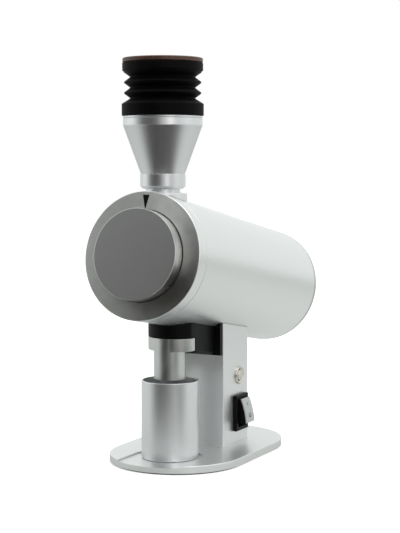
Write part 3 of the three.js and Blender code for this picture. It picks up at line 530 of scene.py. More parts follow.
def brushed_aluminium():
    """Extrusion brushed along its length: fine upright lines of uneven strength."""
    material = blank("brushed_aluminium")
    if material is None:
        return bpy.data.materials["brushed_aluminium"]
    tree = material.node_tree
    place = add_node(tree, "ShaderNodeTexCoord").outputs["Object"]
    # Brush lines about 0.9 mm apart, wider than the real 0.3 mm so that they show, 120 mm long.
    stretch = add_node(
        tree, "ShaderNodeMapping",
        {"Vector": place, "Scale": (per_mm(0.9), per_mm(0.9), per_mm(120))},
    ).outputs[0]
    lines = noise(tree, stretch, 1.0, 4.0, 0.7)
    shade = scaled(tuple(colours().aluminium), 1.3)
    bump = add_node(
        tree, "ShaderNodeBump", {"Strength": 0.3, "Distance": 0.03 * MM, "Height": lines}
    )
    close_tree(tree, {
        "Base Color": shades(tree, lines, scaled(shade, 0.86), shade, 0.25, 0.75),
        "Metallic": 1.0,
        "Roughness": ranged(tree, lines, 0.3, 0.44),
        "Normal": bump.outputs[0],
    })
    return material


def spun_aluminium():
    """Faced on a lathe: faint rings round the drive axis."""
    material = blank("spun_aluminium")
    if material is None:
        return bpy.data.materials["spun_aluminium"]
    tree = material.node_tree
    place = add_node(tree, "ShaderNodeTexCoord").outputs["Object"]
    # Seen along the drive axis, so that distance from the middle counts the tool's passes.
    level = add_node(
        tree, "ShaderNodeMapping",
        {"Vector": place, "Location": -FACE_CENTRE}, vector_type="POINT",
    ).outputs[0]
    turned_up = add_node(
        tree, "ShaderNodeMapping",
        {"Vector": level, "Rotation": (math.atan2(-BACK.z, BACK.y), 0, 0), "Scale": (1, 0, 1)},
    ).outputs[0]
    reach = add_node(
        tree, "ShaderNodeVectorMath", {0: turned_up}, operation="LENGTH"
    ).outputs["Value"]
    passes = add_node(
        tree, "ShaderNodeTexNoise", {"W": reach, "Scale": per_mm(0.7), "Detail": 3.0},
        noise_dimensions="1D",
    ).outputs[0]
    shade = tuple(colours().aluminium)
    bump = add_node(
        tree, "ShaderNodeBump", {"Strength": 0.25, "Distance": 0.02 * MM, "Height": passes}
    )
    close_tree(tree, {
        "Base Color": shades(tree, passes, scaled(shade, 0.9), shade, 0.25, 0.75),
        "Metallic": 1.0,
        "Roughness": ranged(tree, passes, 0.28, 0.4),
        "Normal": bump.outputs[0],
    })
    return material


def cast_aluminium():
    # The spout's casting keeps a coarse blasted skin, duller than the turned pieces.
    return blasted_metal(
        "blasted_cast_aluminium", scaled(tuple(colours().aluminium), 1.05), 0.36, 1.1, 16.0, 0.05
    )


def polished_steel():
    # Turned stainless steel with a near-mirror polish: crisp dark and bright reflections.
    return blasted_metal("polished_stainless_steel", tuple(colours().steel), 0.14, 1.2, 8.0, 0.004)


def plain_steel():
    # Zinc-free hardened steel of the screws, burrs and bearings, oiled.
    return blasted_metal("machined_steel", tuple(colours().steel), 0.32, 0.7, 6.0, 0.02)


def grained(name, shade, roughness, grain, depth, dust=1.5, sheen=0.5, **extra):
    """Moulded plastic or rubber: a fine spark-eroded grain and slightly uneven gloss."""
    material = blank(name)
    if material is None:
        return bpy.data.materials[name]
    tree = material.node_tree
    place = add_node(tree, "ShaderNodeTexCoord").outputs["Object"]
    pits = noise(tree, place, per_mm(grain), 2.0)
    patches = noise(tree, place, per_mm(18), 3.0)
    bump = add_node(
        tree, "ShaderNodeBump", {"Strength": 0.4, "Distance": depth * MM, "Height": pits}
    )
    close_tree(tree, {
        "Base Color": shades(tree, patches, shade, scaled(shade, dust)),
        "Roughness": ranged(tree, patches, roughness - 0.04, roughness + 0.05),
        "IOR": 1.5,
        "Specular IOR Level": sheen,
        "Normal": bump.outputs[0],
        **extra,
    })
    return material


def black_moulding():
    # Glass-filled nylon from an eroded mould: dull black with a weak broad sheen.
    return grained("black_moulded_nylon", tuple(colours().moulding), 0.42, 0.7, 0.02, 1.5, 0.1)


def black_silicone():
    # Soft silicone holds a little dust, so its dark is greyer towards the light.
    return grained(
        "black_silicone_rubber", tuple(colours().silicone), 0.55, 1.1, 0.02, 1.7, 0.06,
    )


def black_rubber():
    return grained("black_nitrile_rubber", tuple(colours().rubber), 0.75, 0.9, 0.05, 1.4, 0.2)


def teal_gasket():
    return grained("teal_gasket_paper", tuple(colours().gasket), 0.7, 0.6, 0.04, 1.3)


def silver_plastic():
    # ABS with aluminium flake in it: a pale face with a silky gloss.
    return grained(
        "silver_painted_abs", tuple(colours().rocker_face), 0.34, 0.5, 0.01, 0.94,
        **{"Metallic": 0.15, "Coat Weight": 0.25, "Coat Roughness": 0.2},
    )


def ink():
    # Pad-printed marks, a soft dark grey.
    return grained("pad_print_ink", linear("3A3C3E"), 0.6, 0.4, 0.01, 1.2)


def engraving():
    # The engraved ticks are coloured a dark grey against the anodising round them.
    return grained("engraved_tick", linear("1C1A1B"), 0.6, 0.4, 0.01, 1.2, **{"Metallic": 0.2})


def copper():
    return grained("enamelled_copper_wire", linear("8C4B25"), 0.35, 0.9, 0.1, 1.3, **{"Metallic": 0.8})


def circuit_board():
    return grained("green_circuit_board", linear("1F4A30"), 0.4, 1.2, 0.02, 1.4)


def oiled_walnut():
    """Walnut heartwood, planed and oiled: long figure along X, with short dark pores."""
    material = blank("oiled_walnut")
    if material is None:
        return bpy.data.materials["oiled_walnut"]
    tree = material.node_tree
    place = add_node(tree, "ShaderNodeTexCoord").outputs["Object"]
    # Growth rings 3 to 7 mm wide that wander along 150 mm.
    figure = noise(tree, add_node(
        tree, "ShaderNodeMapping",
        {"Vector": place, "Scale": (per_mm(150), per_mm(6), per_mm(5)), "Rotation": (0, 0, 0.12)},
    ).outputs[0], 1.0, 5.0, 0.6)
    # Open pores 0.35 mm wide and 8 mm long.
    pores = noise(tree, add_node(
        tree, "ShaderNodeMapping",
        {"Vector": place, "Scale": (per_mm(8), per_mm(0.5), per_mm(0.5)), "Rotation": (0, 0, 0.12)},
    ).outputs[0], 1.0, 2.0, 0.5)
    shade = tuple(colours().walnut)
    wood = shades(tree, figure, scaled(shade, 0.5), scaled(shade, 1.25), 0.3, 0.7)
    marked = add_node(tree, "ShaderNodeMapRange", {0: pores, 1: 0.34, 2: 0.46, 3: 0.45, 4: 1.0})
    colour_out = add_node(
        tree, "ShaderNodeMix", {0: marked.outputs[0], 6: scaled(shade, 0.35), 7: wood},
        data_type="RGBA",
    ).outputs[2]
    bump = add_node(
        tree, "ShaderNodeBump", {"Strength": 0.4, "Distance": 0.08 * MM, "Height": pores}
    )
    close_tree(tree, {
        "Base Color": colour_out,
        "Roughness": ranged(tree, figure, 0.42, 0.55),
        "IOR": 1.48,
        "Normal": bump.outputs[0],
    })
    return material


# ---- Base ------------------------------------------------------------------------------------


def stadium(radius, length, back):
    """Outline with round ends, from its right side round; back is the y of its middle."""
    half = length / 2 - radius
    turn = [math.pi * k / 48 for k in range(49)]
    far = [(radius * math.cos(a), back + half + radius * math.sin(a)) for a in turn]
    near = [(-radius * math.cos(a), back - half - radius * math.sin(a)) for a in turn]
    return far + near


def screw_places():
    return [middle(f"column_screw_{i}") for i in (1, 2, 3, 4)]


class GRINDER_OT_base(bpy.types.Operator):
    """Model the base plate with its cup channel, and the rubber mat under it"""

    bl_idname = "grinder.base"
    bl_label = "Base"

    def execute(self, context):
        low, high = span("base_plate")
        back = (low.y + high.y) / 2
        plate = raised(
            "base_plate_finish", stadium(high.x, high.y - low.y, back),
            (Z * low.z, X, Y, Z * (high.z - low.z)),
        )
        cup_low, cup_high = span("cup")
        lane = 36.0
        end = cup_high.y + 0.05 - lane
        mouth = [(lane, low.y - 2), (lane, end)]
        mouth += [(lane * math.cos(a), end + lane * math.sin(a))
                  for a in (math.pi * k / 48 for k in range(1, 48))]
        mouth += [(-lane, end), (-lane, low.y - 2)]
        channel = raised("cutter", mouth, (Z * (cup_low.z - 0.05), X, Y, Z * 10))
        carved(plate, channel)
        round_edges(
            plate, lambda at, way: at.z > high.z - 0.01 and abs(way.z) < 0.1,
            sizes().plate_edge, 3,
        )
        holes = [rod(4.9, low.z - 1, low.z + 4.3, axis_through(p.x, p.y, 0, Z, X), 32)
                 for p in screw_places()]
        carved(plate, *holes)
        finished(plate, "frame", ["base_plate"], [aluminium()])

        low, high = span("base_mat")
        mat = raised(
            "base_mat_finish", stadium(high.x, high.y - low.y, (low.y + high.y) / 2),
            (Z * low.z, X, Y, Z * (high.z - low.z)),
        )
        round_edges(mat, lambda at, way: at.z < 0.01, 0.4, 2)
        carved(mat, *[rod(5.6, -1, 3, axis_through(p.x, p.y, 0, Z, X), 32) for p in screw_places()])
        finished(mat, "frame", ["base_mat"], [black_rubber()])
        return {"FINISHED"}


# ---- Column ----------------------------------------------------------------------------------


def upright(at, way):
    return abs(way.z) > 0.99


def tube_envelope(grow):
    radius = width("body_tube") / 2 + grow
    return rod(radius, -20, 300, DRIVE, 192)


class GRINDER_OT_column(bpy.types.Operator):
    """Model the brushed column that the drive tube lies on"""

    bl_idname = "grinder.column"
    bl_label = "Column"

    def execute(self, context):
        low, high = span("column")
        shell = block("column_finish", low, high, upright, sizes().column_edge, 4)
        wall = 3.0
        hollow = block(
            "cutter", (low.x + wall, low.y + wall, low.z + 8),
            (high.x - wall, high.y - wall, high.z + 5),
        )
        button = middle("button_bezel")
        rocker_low, rocker_high = span("rocker_frame")
        inlet_low, inlet_high = span("mains_inlet")
        inset = 4.1 - 1.3
        carved(
            shell, hollow, tube_envelope(0.3),
            rod(8.3, high.x - 6, high.x + 3, axis_through(0, button.y, button.z, X, Z), 64),
            block("cutter", (high.x - 6, rocker_low.y + inset, rocker_low.z + inset),
                  (high.x + 3, rocker_high.y - inset, rocker_high.z - inset)),
            block("cutter", (inlet_low.x + 1.7, high.y - 6, inlet_low.z + 1.7),
                  (inlet_high.x - 1.7, high.y + 3, inlet_high.z - 1.7)),
        )
        finished(shell, "frame", ["column"], [brushed_aluminium()])
        return {"FINISHED"}


# ---- Controls --------------------------------------------------------------------------------


class GRINDER_OT_start_button(bpy.types.Operator):
    """Model the stainless push button and its bezel"""

    bl_idname = "grinder.start_button"
    bl_label = "Start button"

    def execute(self, context):
        low, high = span("button_bezel")
        place = axis_through(0, middle("button_bezel").y, middle("button_bezel").z, X, Z)
        rim = (high.y - low.y) / 2
        face = span("column")[1].x + 0.05
        cap_low, cap_high = span("start_button")
        cap = (cap_high.y - cap_low.y) / 2
        bezel = turned("button_bezel_finish", [
            (2, low.x), (8, low.x), (8, face), (rim, face), (rim, high.x - 0.2, 0.9, 5),
            (cap + 1.9, high.x - 0.1, 0.5), (cap + 0.35, high.x - 1.2, 0.2), (cap + 0.35, low.x + 2),
            (2, low.x + 2),
        ], place, 72)
        finished(bezel, "frame", ["button_bezel"], [polished_steel()])
        out = cap_high.x
        button = turned("start_button_finish", [
            (0, cap_low.x), (cap, cap_low.x), (cap, out - 0.1, 0.8, 5), (cap - 2.2, out - 0.35, 1.2),
            (0, out - 0.8),
        ], place, 72)
        finished(button, "start_button", ["start_button"], [polished_steel()])
        return {"FINISHED"}


class GRINDER_OT_rocker(bpy.types.Operator):
    """Model the power rocker: its bezel, the ribbed paddle, its silver face and the marks"""

    bl_idname = "grinder.rocker"
    bl_label = "Power rocker"

    def execute(self, context):
        low, high = span("rocker_frame")
        face = span("column")[1].x + 0.05
        bezel = block("rocker_bezel", (face, low.y, low.z), high, every_edge, 1.1, 3)
        body = block("cutter", (low.x, low.y + 3.1, low.z + 3.1), (face + 2, high.y - 3.1, high.z - 3.1))
        carved(bezel, body, operation="UNION")
        carved(bezel, block("cutter", (low.x + 2, low.y + 4.1, low.z + 4.1),
                            (high.x + 2, high.y - 4.1, high.z - 4.1)))
        finished(bezel, "frame", ["rocker_frame"], [black_moulding()])

        joint = joint_named("power_rocker")
        hinge = Vector(joint["pos_m"]) / MM
        tilt = Matrix.Rotation(-math.radians(joint["range_deg"][1] / 2), 3, "Y")
        out, up = tilt @ X, tilt @ Z
        half_width = (high.y - low.y) / 2 - 4.1 - 0.5
        half, ends, rise, skin = 13.2, 11.5, 1.1, 1.5
        arc = (half * half + rise * rise) / (2 * rise)
        reach = math.asin(half / arc)
        turn = [reach * k / 6 for k in range(-6, 7)]
        crown = [(ends + rise - arc * (1 - math.cos(t)), arc * math.sin(t)) for t in turn]
        under = [(a - skin, b * 0.985) for a, b in crown]
        paddle = raised(
            "rocker_paddle_body",
            under + [(0, half - 1), (-6, half / 2), (-6, -half / 2), (0, 1 - half)],
            (hinge - Y * half_width, out, up, Y * 2 * half_width),
        )
        ribs = []
        for side in (-1, 1):
            for k in range(-4, 5):
                ribs.append(rib_cutter(hinge + up * 2.7 * k + Y * side * half_width, out, up))
        carved(paddle, *ribs)
        finished(paddle, "rocker", ["rocker_paddle"], [black_moulding()])

        plate = raised("rocker_face", crown + under[::-1],
                       (hinge - Y * (half_width - 0.1), out, up, Y * 2 * (half_width - 0.1)))
        bevelled(plate, 0.45, 3, 40)
        finished(plate, "rocker", [], [silver_plastic()])

        print_at = 5.4
        level = ends + rise - arc + math.sqrt(arc * arc - print_at * print_at)
        bar = block("rocker_mark_on", (-0.4, -0.5, -2.6), (0.07, 0.5, 2.6), every_edge, 0.04, 1)
        set_on(bar, hinge + out * level + up * print_at, out, up)
        finished(bar, "rocker", [], [ink()])
        ring = turned("rocker_mark_off", [(1.6, -0.4), (2.6, -0.4), (2.6, 0.1, 0.04, 1), (1.6, 0.1)],
                      (Vector(), X, Z), 48)
        set_on(ring, hinge + out * level - up * print_at, out, up)
        finished(ring, "rocker", [], [ink()])
        return {"FINISHED"}


def rib_cutter(at, out, up):
    groove = block("cutter", (3, -0.6, -0.6), (13, 0.6, 0.6))
    set_on(groove, at, out, up)
    return groove


def set_on(piece, at, out, up):
    """Turns a piece made at the origin so that X points out and Z up, and puts it at a place in mm."""
    side = up.cross(out)
    place = Matrix((out, side, up)).transposed().to_4x4()
    place.translation = at * MM
    work_on(piece)
    piece.matrix_world = place
    bpy.ops.object.transform_apply(location=True, rotation=True, scale=True)


class GRINDER_OT_mains_inlet(bpy.types.Operator):
    """Model the mains inlet at the back of the column, with its three blades"""

    bl_idname = "grinder.mains_inlet"
    bl_label = "Mains inlet"

    def execute(self, context):
        low, high = span("mains_inlet")
        mid = middle("mains_inlet")
        flange = block("mains_inlet_finish", (low.x, high.y - 1.8, low.z), high,
                       lambda at, way: abs(way.y) > 0.9, 2.0, 4)
        round_edges(flange, lambda at, way: at.y > high.y - 0.01, 0.4, 2)
        shell = block("cutter", (low.x + 2, low.y, low.z + 2), (high.x - 2, high.y - 0.9, high.z - 2))
        carved(flange, shell, operation="UNION")
        wall = 3.5
        socket = block(
            "cutter", (low.x + wall, low.y + 4, low.z + wall), (high.x - wall, high.y + 2, high.z - wall),
            lambda at, way: abs(way.y) > 0.9 and at.z < mid.z, 3.2, 1,
        )
        carved(flange, socket)
        finished(flange, "frame", ["mains_inlet"], [black_moulding()])
        for i, (x, z) in enumerate(((-7, -1.5), (0, 2.5), (7, -1.5))):
            blade = block(
                f"inlet_blade_{i + 1}", (mid.x + x - 2, low.y + 3, mid.z + z - 1),
                (mid.x + x + 2, high.y - 4, mid.z + z + 1), lambda at, way: at.y > high.y - 4.1, 0.6, 2,
            )
            finished(blade, "frame", [], [polished_steel()])
        return {"FINISHED"}


# ---- Drive tube ------------------------------------------------------------------------------


def hopper_bore(radius, low, high):
    return rod(radius, low, high, HOPPER_AXIS, 72)


class GRINDER_OT_drive_tube(bpy.types.Operator):
    """Model the drive tube, its gasket and its screwed rear cover"""

    bl_idname = "grinder.drive_tube"
    bl_label = "Drive tube"

    def execute(self, context):
        start, end = along_drive("body_tube")
        radius = width("body_tube") / 2
        bore = radius - 3.2
        tube = turned("body_tube_finish", [
            (bore, start), (radius, start, 0.25), (radius, end, 0.45), (bore, end),
        ], DRIVE, 192)
        boss = middle("inlet_boss").z
        carved(tube, hopper_bore(19.7, boss - 60, boss + 40), rod(14.9, 120, 180, CUP_AXIS, 64))
        finished(tube, "frame", ["body_tube"], [aluminium()])

        start, end = along_drive("rear_gasket")
        ring = width("rear_gasket") / 2
        gasket = turned("rear_gasket_finish", [
            (ring - 3.5, start), (ring, start, 0.2), (ring, end, 0.2), (ring - 3.5, end),
        ], DRIVE, 192)
        finished(gasket, "frame", ["rear_gasket"], [teal_gasket()])

        start, end = along_drive("rear_cover")
        ring = width("rear_cover") / 2
        cover = turned("rear_cover_finish", [
            (0, start), (ring, start, 0.3), (ring, end, 1.0), (ring - 3.4, end),
            (ring - 3.8, end - 0.35), (0, end - 0.35),
        ], DRIVE, 192)
        heads = []
        for i in (1, 2, 3):
            at = middle(f"rear_cover_screw_{i}") * MM
            heads.append(at - BACK * (at - FACE_CENTRE).dot(BACK))
        carved(cover, *[rod(3.8, end - 2.2, end + 2, (at, BACK, RISE), 48) for at in heads])
        finished(cover, "frame", ["rear_cover"], [spun_aluminium()])
        first = cap_screw("rear_cover_screw_finish_1", heads[0], end - 0.6)
        screws = [first]
        for i in (1, 2):
            screws.append(copied(first, f"rear_cover_screw_finish_{i + 1}", (heads[i] - heads[0]) / MM))
        for i, screw in enumerate(screws):
            finished(screw, "frame", [f"rear_cover_screw_{i + 1}"], [plain_steel()])
        return {"FINISHED"}


def cap_screw(name, at, top):
    """A button-head screw with a hexagon socket, its head's top at a distance down the tube."""
    axis = (at, BACK, RISE)
    screw = turned(name, [
        (0, top - 12), (1.5, top - 12, 0.3), (1.5, top - 1.5),
        (3.4, top - 1.5, 0.2), (3.4, top, 0.7), (0, top),
    ], axis, 48)
    return carved(screw, turned("cutter", [
        (0, top - 1.1), (1.3, top - 1.1), (1.3, top + 1), (0, top + 1)], axis, 6))


class GRINDER_OT_front_ring(bpy.types.Operator):
    """Model the grey ring round the dial, with its inlaid index mark"""

    bl_idname = "grinder.front_ring"
    bl_label = "Front ring"

    def execute(self, context):
        radius = width("front_ring") / 2
        dial = width("dial") / 2
        end = along_drive("front_ring")[1]
        ring = turned("front_ring_finish", [
            (36.5, 3.5), (dial + 0.75, 3.5), (dial + 0.75, 0, 0.3, 2), (radius, 0, sizes().ring_edge, 3),
            (radius, end, 0.3, 2), (60.3, end), (60.3, 6), (36.5, 6),
        ], DRIVE, 256)
        wedge_top = FACE_CENTRE / MM
        outline = [(-3.5, 59.6), (-0.5, dial + 1.7), (0.5, dial + 1.7), (3.5, 59.6)]
        pocket = raised("cutter", [(x * 1.05, z + (0.1 if z > 50 else -0.1)) for x, z in outline],
                        (wedge_top + BACK * 0.6, X, RISE, -BACK * 3))
        carved(ring, pocket)
        for surface in (turned_grey_aluminium(), aluminium()):
            ring.data.materials.append(surface)
        for face in ring.data.polygons:
            off = face.center - FACE_CENTRE
            out = (off - BACK * off.dot(BACK)).length / MM
            if out > radius - 0.6 and abs(face.normal.dot(BACK)) < 0.95:
                face.material_index = 1
        finished(ring, "frame", ["front_ring"], [])
        mark = raised("index_mark_finish", outline, (wedge_top + BACK * 0.58, X, RISE, -BACK * 0.56))
        finished(mark, "frame", ["index_mark"], [black_moulding()])
        return {"FINISHED"}


class GRINDER_OT_dial(bpy.types.Operator):
    """Model the grind dial and engrave its ticks"""

    bl_idname = "grinder.dial"
    bl_label = "Dial"

    def execute(self, context):
        radius = width("dial") / 2
        front, hub_end = along_drive("dial")
        inside = front + 5
        tick = sizes().tick_length
        dial = turned("dial_finish", [
            (0, front), (radius, front, sizes().dial_edge, 2), (radius, -0.6 - tick), (radius, -0.6),
            (radius, 3, 0.3, 2), (radius - 5, 3), (radius - 5, inside), (35, inside), (35, hub_end),
            (30.3, hub_end), (30.3, inside), (0, inside),
        ], DRIVE, 3 * sizes().ticks)
        edit(dial)
        pitch = math.tau / (3 * sizes().ticks)

        def on_a_tick(at, normal):
            off = at - FACE_CENTRE
            along = off.dot(BACK) / MM
            if not -0.6 - tick < along < -0.6 or off.length < 0.9 * radius * MM:
                return False
            turn = math.atan2(off.dot(X), off.dot(RISE)) % math.tau
            return int(turn / pitch) % 3 == 1

        pick_faces(dial, on_a_tick)
        bpy.ops.mesh.extrude_region_move()
        bpy.ops.transform.shrink_fatten(value=-sizes().tick_depth * MM)
        engraved = [f.index for f in bmesh.from_edit_mesh(dial.data).faces if f.select]
        bpy.ops.object.mode_set(mode="OBJECT")
        for surface in (grey_aluminium(), engraving(), satin_grey_aluminium()):
            dial.data.materials.append(surface)
        for face in dial.data.polygons:
            off_axis = (face.center - FACE_CENTRE).cross(BACK).length
            if abs(face.normal.dot(BACK)) < 0.9 and off_axis > 0.98 * radius * MM:
                face.material_index = 2
        for index in engraved:
            dial.data.polygons[index].material_index = 1
        finished(dial, "dial", ["dial"], [])
        return {"FINISHED"}


# ---- Outlet ----------------------------------------------------------------------------------


def nose_outline(half, reach, arc, back):
    """Plan with a round front, straight sides and a square back."""
    hub = arc - reach
    shoulder = math.asin(half / arc)
    turn = [shoulder * k / 14 for k in range(-14, 15)]
    return [(arc * math.sin(a), hub - arc * math.cos(a)) for a in turn] + [(half, back), (-half, back)]


class GRINDER_OT_chute_housing(bpy.types.Operator):
    """Model the black chute housing under the tube"""

    bl_idname = "grinder.chute_housing"
    bl_label = "Chute housing"

    def execute(self, context):
        low, high = span("chute_housing")
        half = width("spout") / 2
        spout_top = span("spout")[1].z
        nose = raised("chute_housing_finish", nose_outline(half, -low.y, 28, 8.5),
                      (Z * (spout_top + 0.1), X, Y, Z * (high.z - spout_top - 0.1)))
        round_edges(nose, lambda at, way: at.z < spout_top + 0.2 and at.y < 8.4, 0.7, 3)
        floor_at = FACE_CENTRE / MM - RISE * (width("body_tube") / 2 + 25)
        rear = housing_block("rear", half, 8.5, high, floor_at, sizes().housing_chamfer)
        pad = housing_block("pad", high.x, high.y - 6, high, floor_at, 1.0)
        carved(nose, rear, pad, operation="UNION")
        carved(
            nose, tube_envelope(0.3),
            rod(13.85, 100, 200, CUP_AXIS, 64),
            rod(17.95, 80, spout_top + 0.05, CUP_AXIS, 64),
        )
        finished(nose, "frame", ["chute_housing"], [black_moulding()])
        return {"FINISHED"}


def housing_block(name, half, front, high, floor_at, chamfer):
    """A block behind the spout whose foot runs level with the tilted tube, its lower edge chamfered."""
    drop = BACK.z / BACK.y

    def foot(y):
        return floor_at.z + (y - floor_at.y) * drop

    outline = [(front, foot(front)), (high.y, foot(high.y)), (high.y, high.z), (front, high.z)]
    solid = raised(name, outline, (-X * half, Y, Z, X * 2 * half))
    round_edges(solid, lambda at, way: at.z < foot(at.y) + 0.2 and at.y < high.y - 0.1, chamfer,
                1 if chamfer > 2 else 3)
    return solid


class GRINDER_OT_spout(bpy.types.Operator):
    """Model the spout with its round-fronted flange"""

    bl_idname = "grinder.spout"
    bl_label = "Spout"

    def execute(self, context):
        low, high = span("spout")
        radius = high.y
        flange = raised("spout_finish", nose_outline(high.x, 15.5, 28, 7),
                        (Z * (high.z - 13), X, Y, Z * 13))
        round_edges(flange, every_edge_but_seams, 0.5, 3)
        pipe = turned("pipe", [(0, low.z), (radius, low.z, 0.5), (radius, high.z, 0.4), (0, high.z)],
                      CUP_AXIS, 128)
        carved(flange, pipe, operation="UNION")
        bore = turned("cutter", [
            (0, low.z - 2), (radius - 1.6, low.z - 2), (radius - 1.6, low.z + 0.1),
            (radius - 2.4, low.z + 1.2), (radius - 2.4, high.z + 2), (0, high.z + 2)], CUP_AXIS, 96)
        heads = [rod(3.1, high.z - 14, high.z - 10, axis_through(middle(n).x, 0, 0, Z, X), 32)
                 for n in ("spout_screw_1", "spout_screw_2")]
        carved(flange, bore, *heads)
        finished(flange, "frame", ["spout"], [cast_aluminium()])
        return {"FINISHED"}


def every_edge_but_seams(at, way):
    """Leaves out the short upright seams of a faceted arc."""
    return abs(way.z) < 0.5 or at.y > 6.5 or abs(at.x) > 24.9


class GRINDER_OT_cup(bpy.types.Operator):
    """Model the dosing cup"""

    bl_idname = "grinder.cup"
    bl_label = "Cup"

    def execute(self, context):
        low, high = span("cup")
        radius = high.x
        inner = radius - 1.8
        cup = turned("cup_finish", [
            (0, low.z + 0.6), (radius - 5, low.z + 0.6, 0.3, 2), (radius - 5.6, low.z, 0.3, 2),
            (radius, low.z, 1.4, 4), (radius, high.z, 0.7, 4), (inner, high.z, 0.7, 4),
            (inner, low.z + 4, 3.0, 6), (0, low.z + 4),
        ], CUP_AXIS, 160)
        finished(cup, "cup", ["cup"], [satin_aluminium()])
        return {"FINISHED"}


# ---- Hopper ----------------------------------------------------------------------------------


class GRINDER_OT_inlet_boss(bpy.types.Operator):
    """Model the collar on the tube that takes the hopper's spigot"""

    bl_idname = "grinder.inlet_boss"
    bl_label = "Inlet boss"

    def execute(self, context):
        low, high = span("inlet_boss")
        radius = high.x
        step = span("hopper_funnel")[0].z - 0.05
        collar = turned("inlet_boss_finish", [
            (17.35, step), (17.35, high.z, 0.4, 2), (radius, high.z, 0.6), (radius, high.z - 22),
            (15, high.z - 22), (15, step),
        ], HOPPER_AXIS, 128)
        carved(collar, tube_envelope(0.25))
        neck = turned("neck", [(15, low.z), (19.4, low.z), (19.4, step - 0.5), (15, step - 0.5)],
                      HOPPER_AXIS, 96)
        carved(collar, neck, operation="UNION")
        finished(collar, "frame", ["inlet_boss"], [aluminium()])
        return {"FINISHED"}


class GRINDER_OT_hopper(bpy.types.Operator):
    """Model the hopper funnel, from its spigot to the lip inside the bellows"""

    bl_idname = "grinder.hopper"
    bl_label = "Hopper funnel"

    def execute(self, context):
        low, high = span("hopper_funnel")
        rim = high.x
        rim_top = span("bellows")[0].z - 0.3
        rim_foot = rim_top - 9.9
        cone_foot = rim_foot - 46.3
        collar_foot = cone_foot - 15.5
        groove = sizes().rim_groove
        cut = rim_top - 2.4
        funnel = turned("hopper_funnel_finish", [
            (14.85, low.z), (17.05, low.z, 0.5), (17.05, collar_foot),
            (19.6, collar_foot, 0.4), (22.5, collar_foot + 2.7, 0.5), (22.5, cone_foot - 0.9, 0.2, 2),
            (21.9, cone_foot - 0.5), (22.1, cone_foot), (rim - 0.5, rim_foot - 0.3, 0.5),
            (rim, rim_foot + 0.6, 0.4), (rim, cut, 0.1, 1), (rim - groove, cut + groove / 2),
            (rim, cut + groove, 0.1, 1), (rim, rim_top, 0.5), (36, rim_top), (36, high.z, 0.5),
            (34.2, high.z, 0.5), (34.2, rim_foot - 2, 2.0), (19.7, cone_foot - 1, 3.0),
            (14.85, cone_foot - 6, 2.0),
        ], HOPPER_AXIS, 160)
        finished(funnel, "hopper", ["hopper_funnel"], [satin_aluminium()])
        return {"FINISHED"}


class GRINDER_OT_bellows(bpy.types.Operator):
    """Model the silicone bellows, and their head, which rides on the pump joint"""

    bl_idname = "grinder.bellows"
    bl_label = "Bellows"

    def execute(self, context):
        low, high = span("bellows")
        band, root, crest, head = high.x, 31.9, 38.9, 39.9
        folds_from, folds_to = low.z + 11.8, high.z - 8.8
        step = (folds_to - folds_from) / 6
        soft = sizes().fold_radius
        outside = [(band, low.z, 0.6), (band, folds_from - 0.2, 1.3)]
        inside = [(36.3, low.z, 0.3, 2), (36.3, folds_from - 1, 0.8)]
        for k in range(1, 6):
            ridge = k % 2 == 0
            outside.append((crest if ridge else root, folds_from + step * k, soft if ridge else 0.7, 6))
            inside.append(((crest if ridge else root) - 1.9, folds_from + step * k, 0.8))
        outside += [(head - 1.6, folds_to - 0.6), (head - 1.6, folds_to)]
        inside += [(35.3, folds_to)]
        skin = turned("bellows_finish", outside + inside[::-1], HOPPER_AXIS, 144)
        finished(skin, "hopper", ["bellows"], [black_silicone()], 50)
        joint = joint_named("bellows_pump")
        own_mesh(skin)

        top = turned("bellows_head_finish", [
            (35.3, folds_to + 0.05), (head - 1.6, folds_to + 0.05, 0.2, 2), (head, folds_to + 1.1, 1.0),
            (head, high.z, 1.0), (35.3, high.z, 0.4, 2),
        ], HOPPER_AXIS, 144)
        finished(top, joint["child"], [], [black_silicone()], 50)
        return {"FINISHED"}


class GRINDER_OT_lid(bpy.types.Operator):
    """Model the walnut lid with its plug and seal"""

    bl_idname = "grinder.lid"
    bl_label = "Lid"

    def execute(self, context):
        low, high = span("lid")
        radius = high.x
        under = span("bellows")[1].z + 0.3
        plug = 31.1
        seal = under - 3
        lid = turned("lid_finish", [
            (0, low.z), (plug, low.z, 0.6), (plug, seal - 1), (plug - 1.4, seal - 1),
            (plug - 1.4, seal + 1), (plug, seal + 1), (plug, under), (radius, under, 0.5),
            (radius, high.z - 0.35, sizes().lid_edge, 5), (radius - 9, high.z, 30, 3), (0, high.z),
        ], HOPPER_AXIS, 160)
        finished(lid, "lid", ["lid"], [oiled_walnut()])
        seal_ring = turned("lid_seal_finish", [
            (plug - 1.2, seal - 0.8), (plug + 0.1, seal - 0.8, 0.5), (plug + 0.1, seal + 0.8, 0.5),
            (plug - 1.2, seal + 0.8)], HOPPER_AXIS, 128)
        finished(seal_ring, "lid", ["lid_seal"], [black_silicone()])
        return {"FINISHED"}


# ---- Pieces that keep their frame shape ------------------------------------------------------


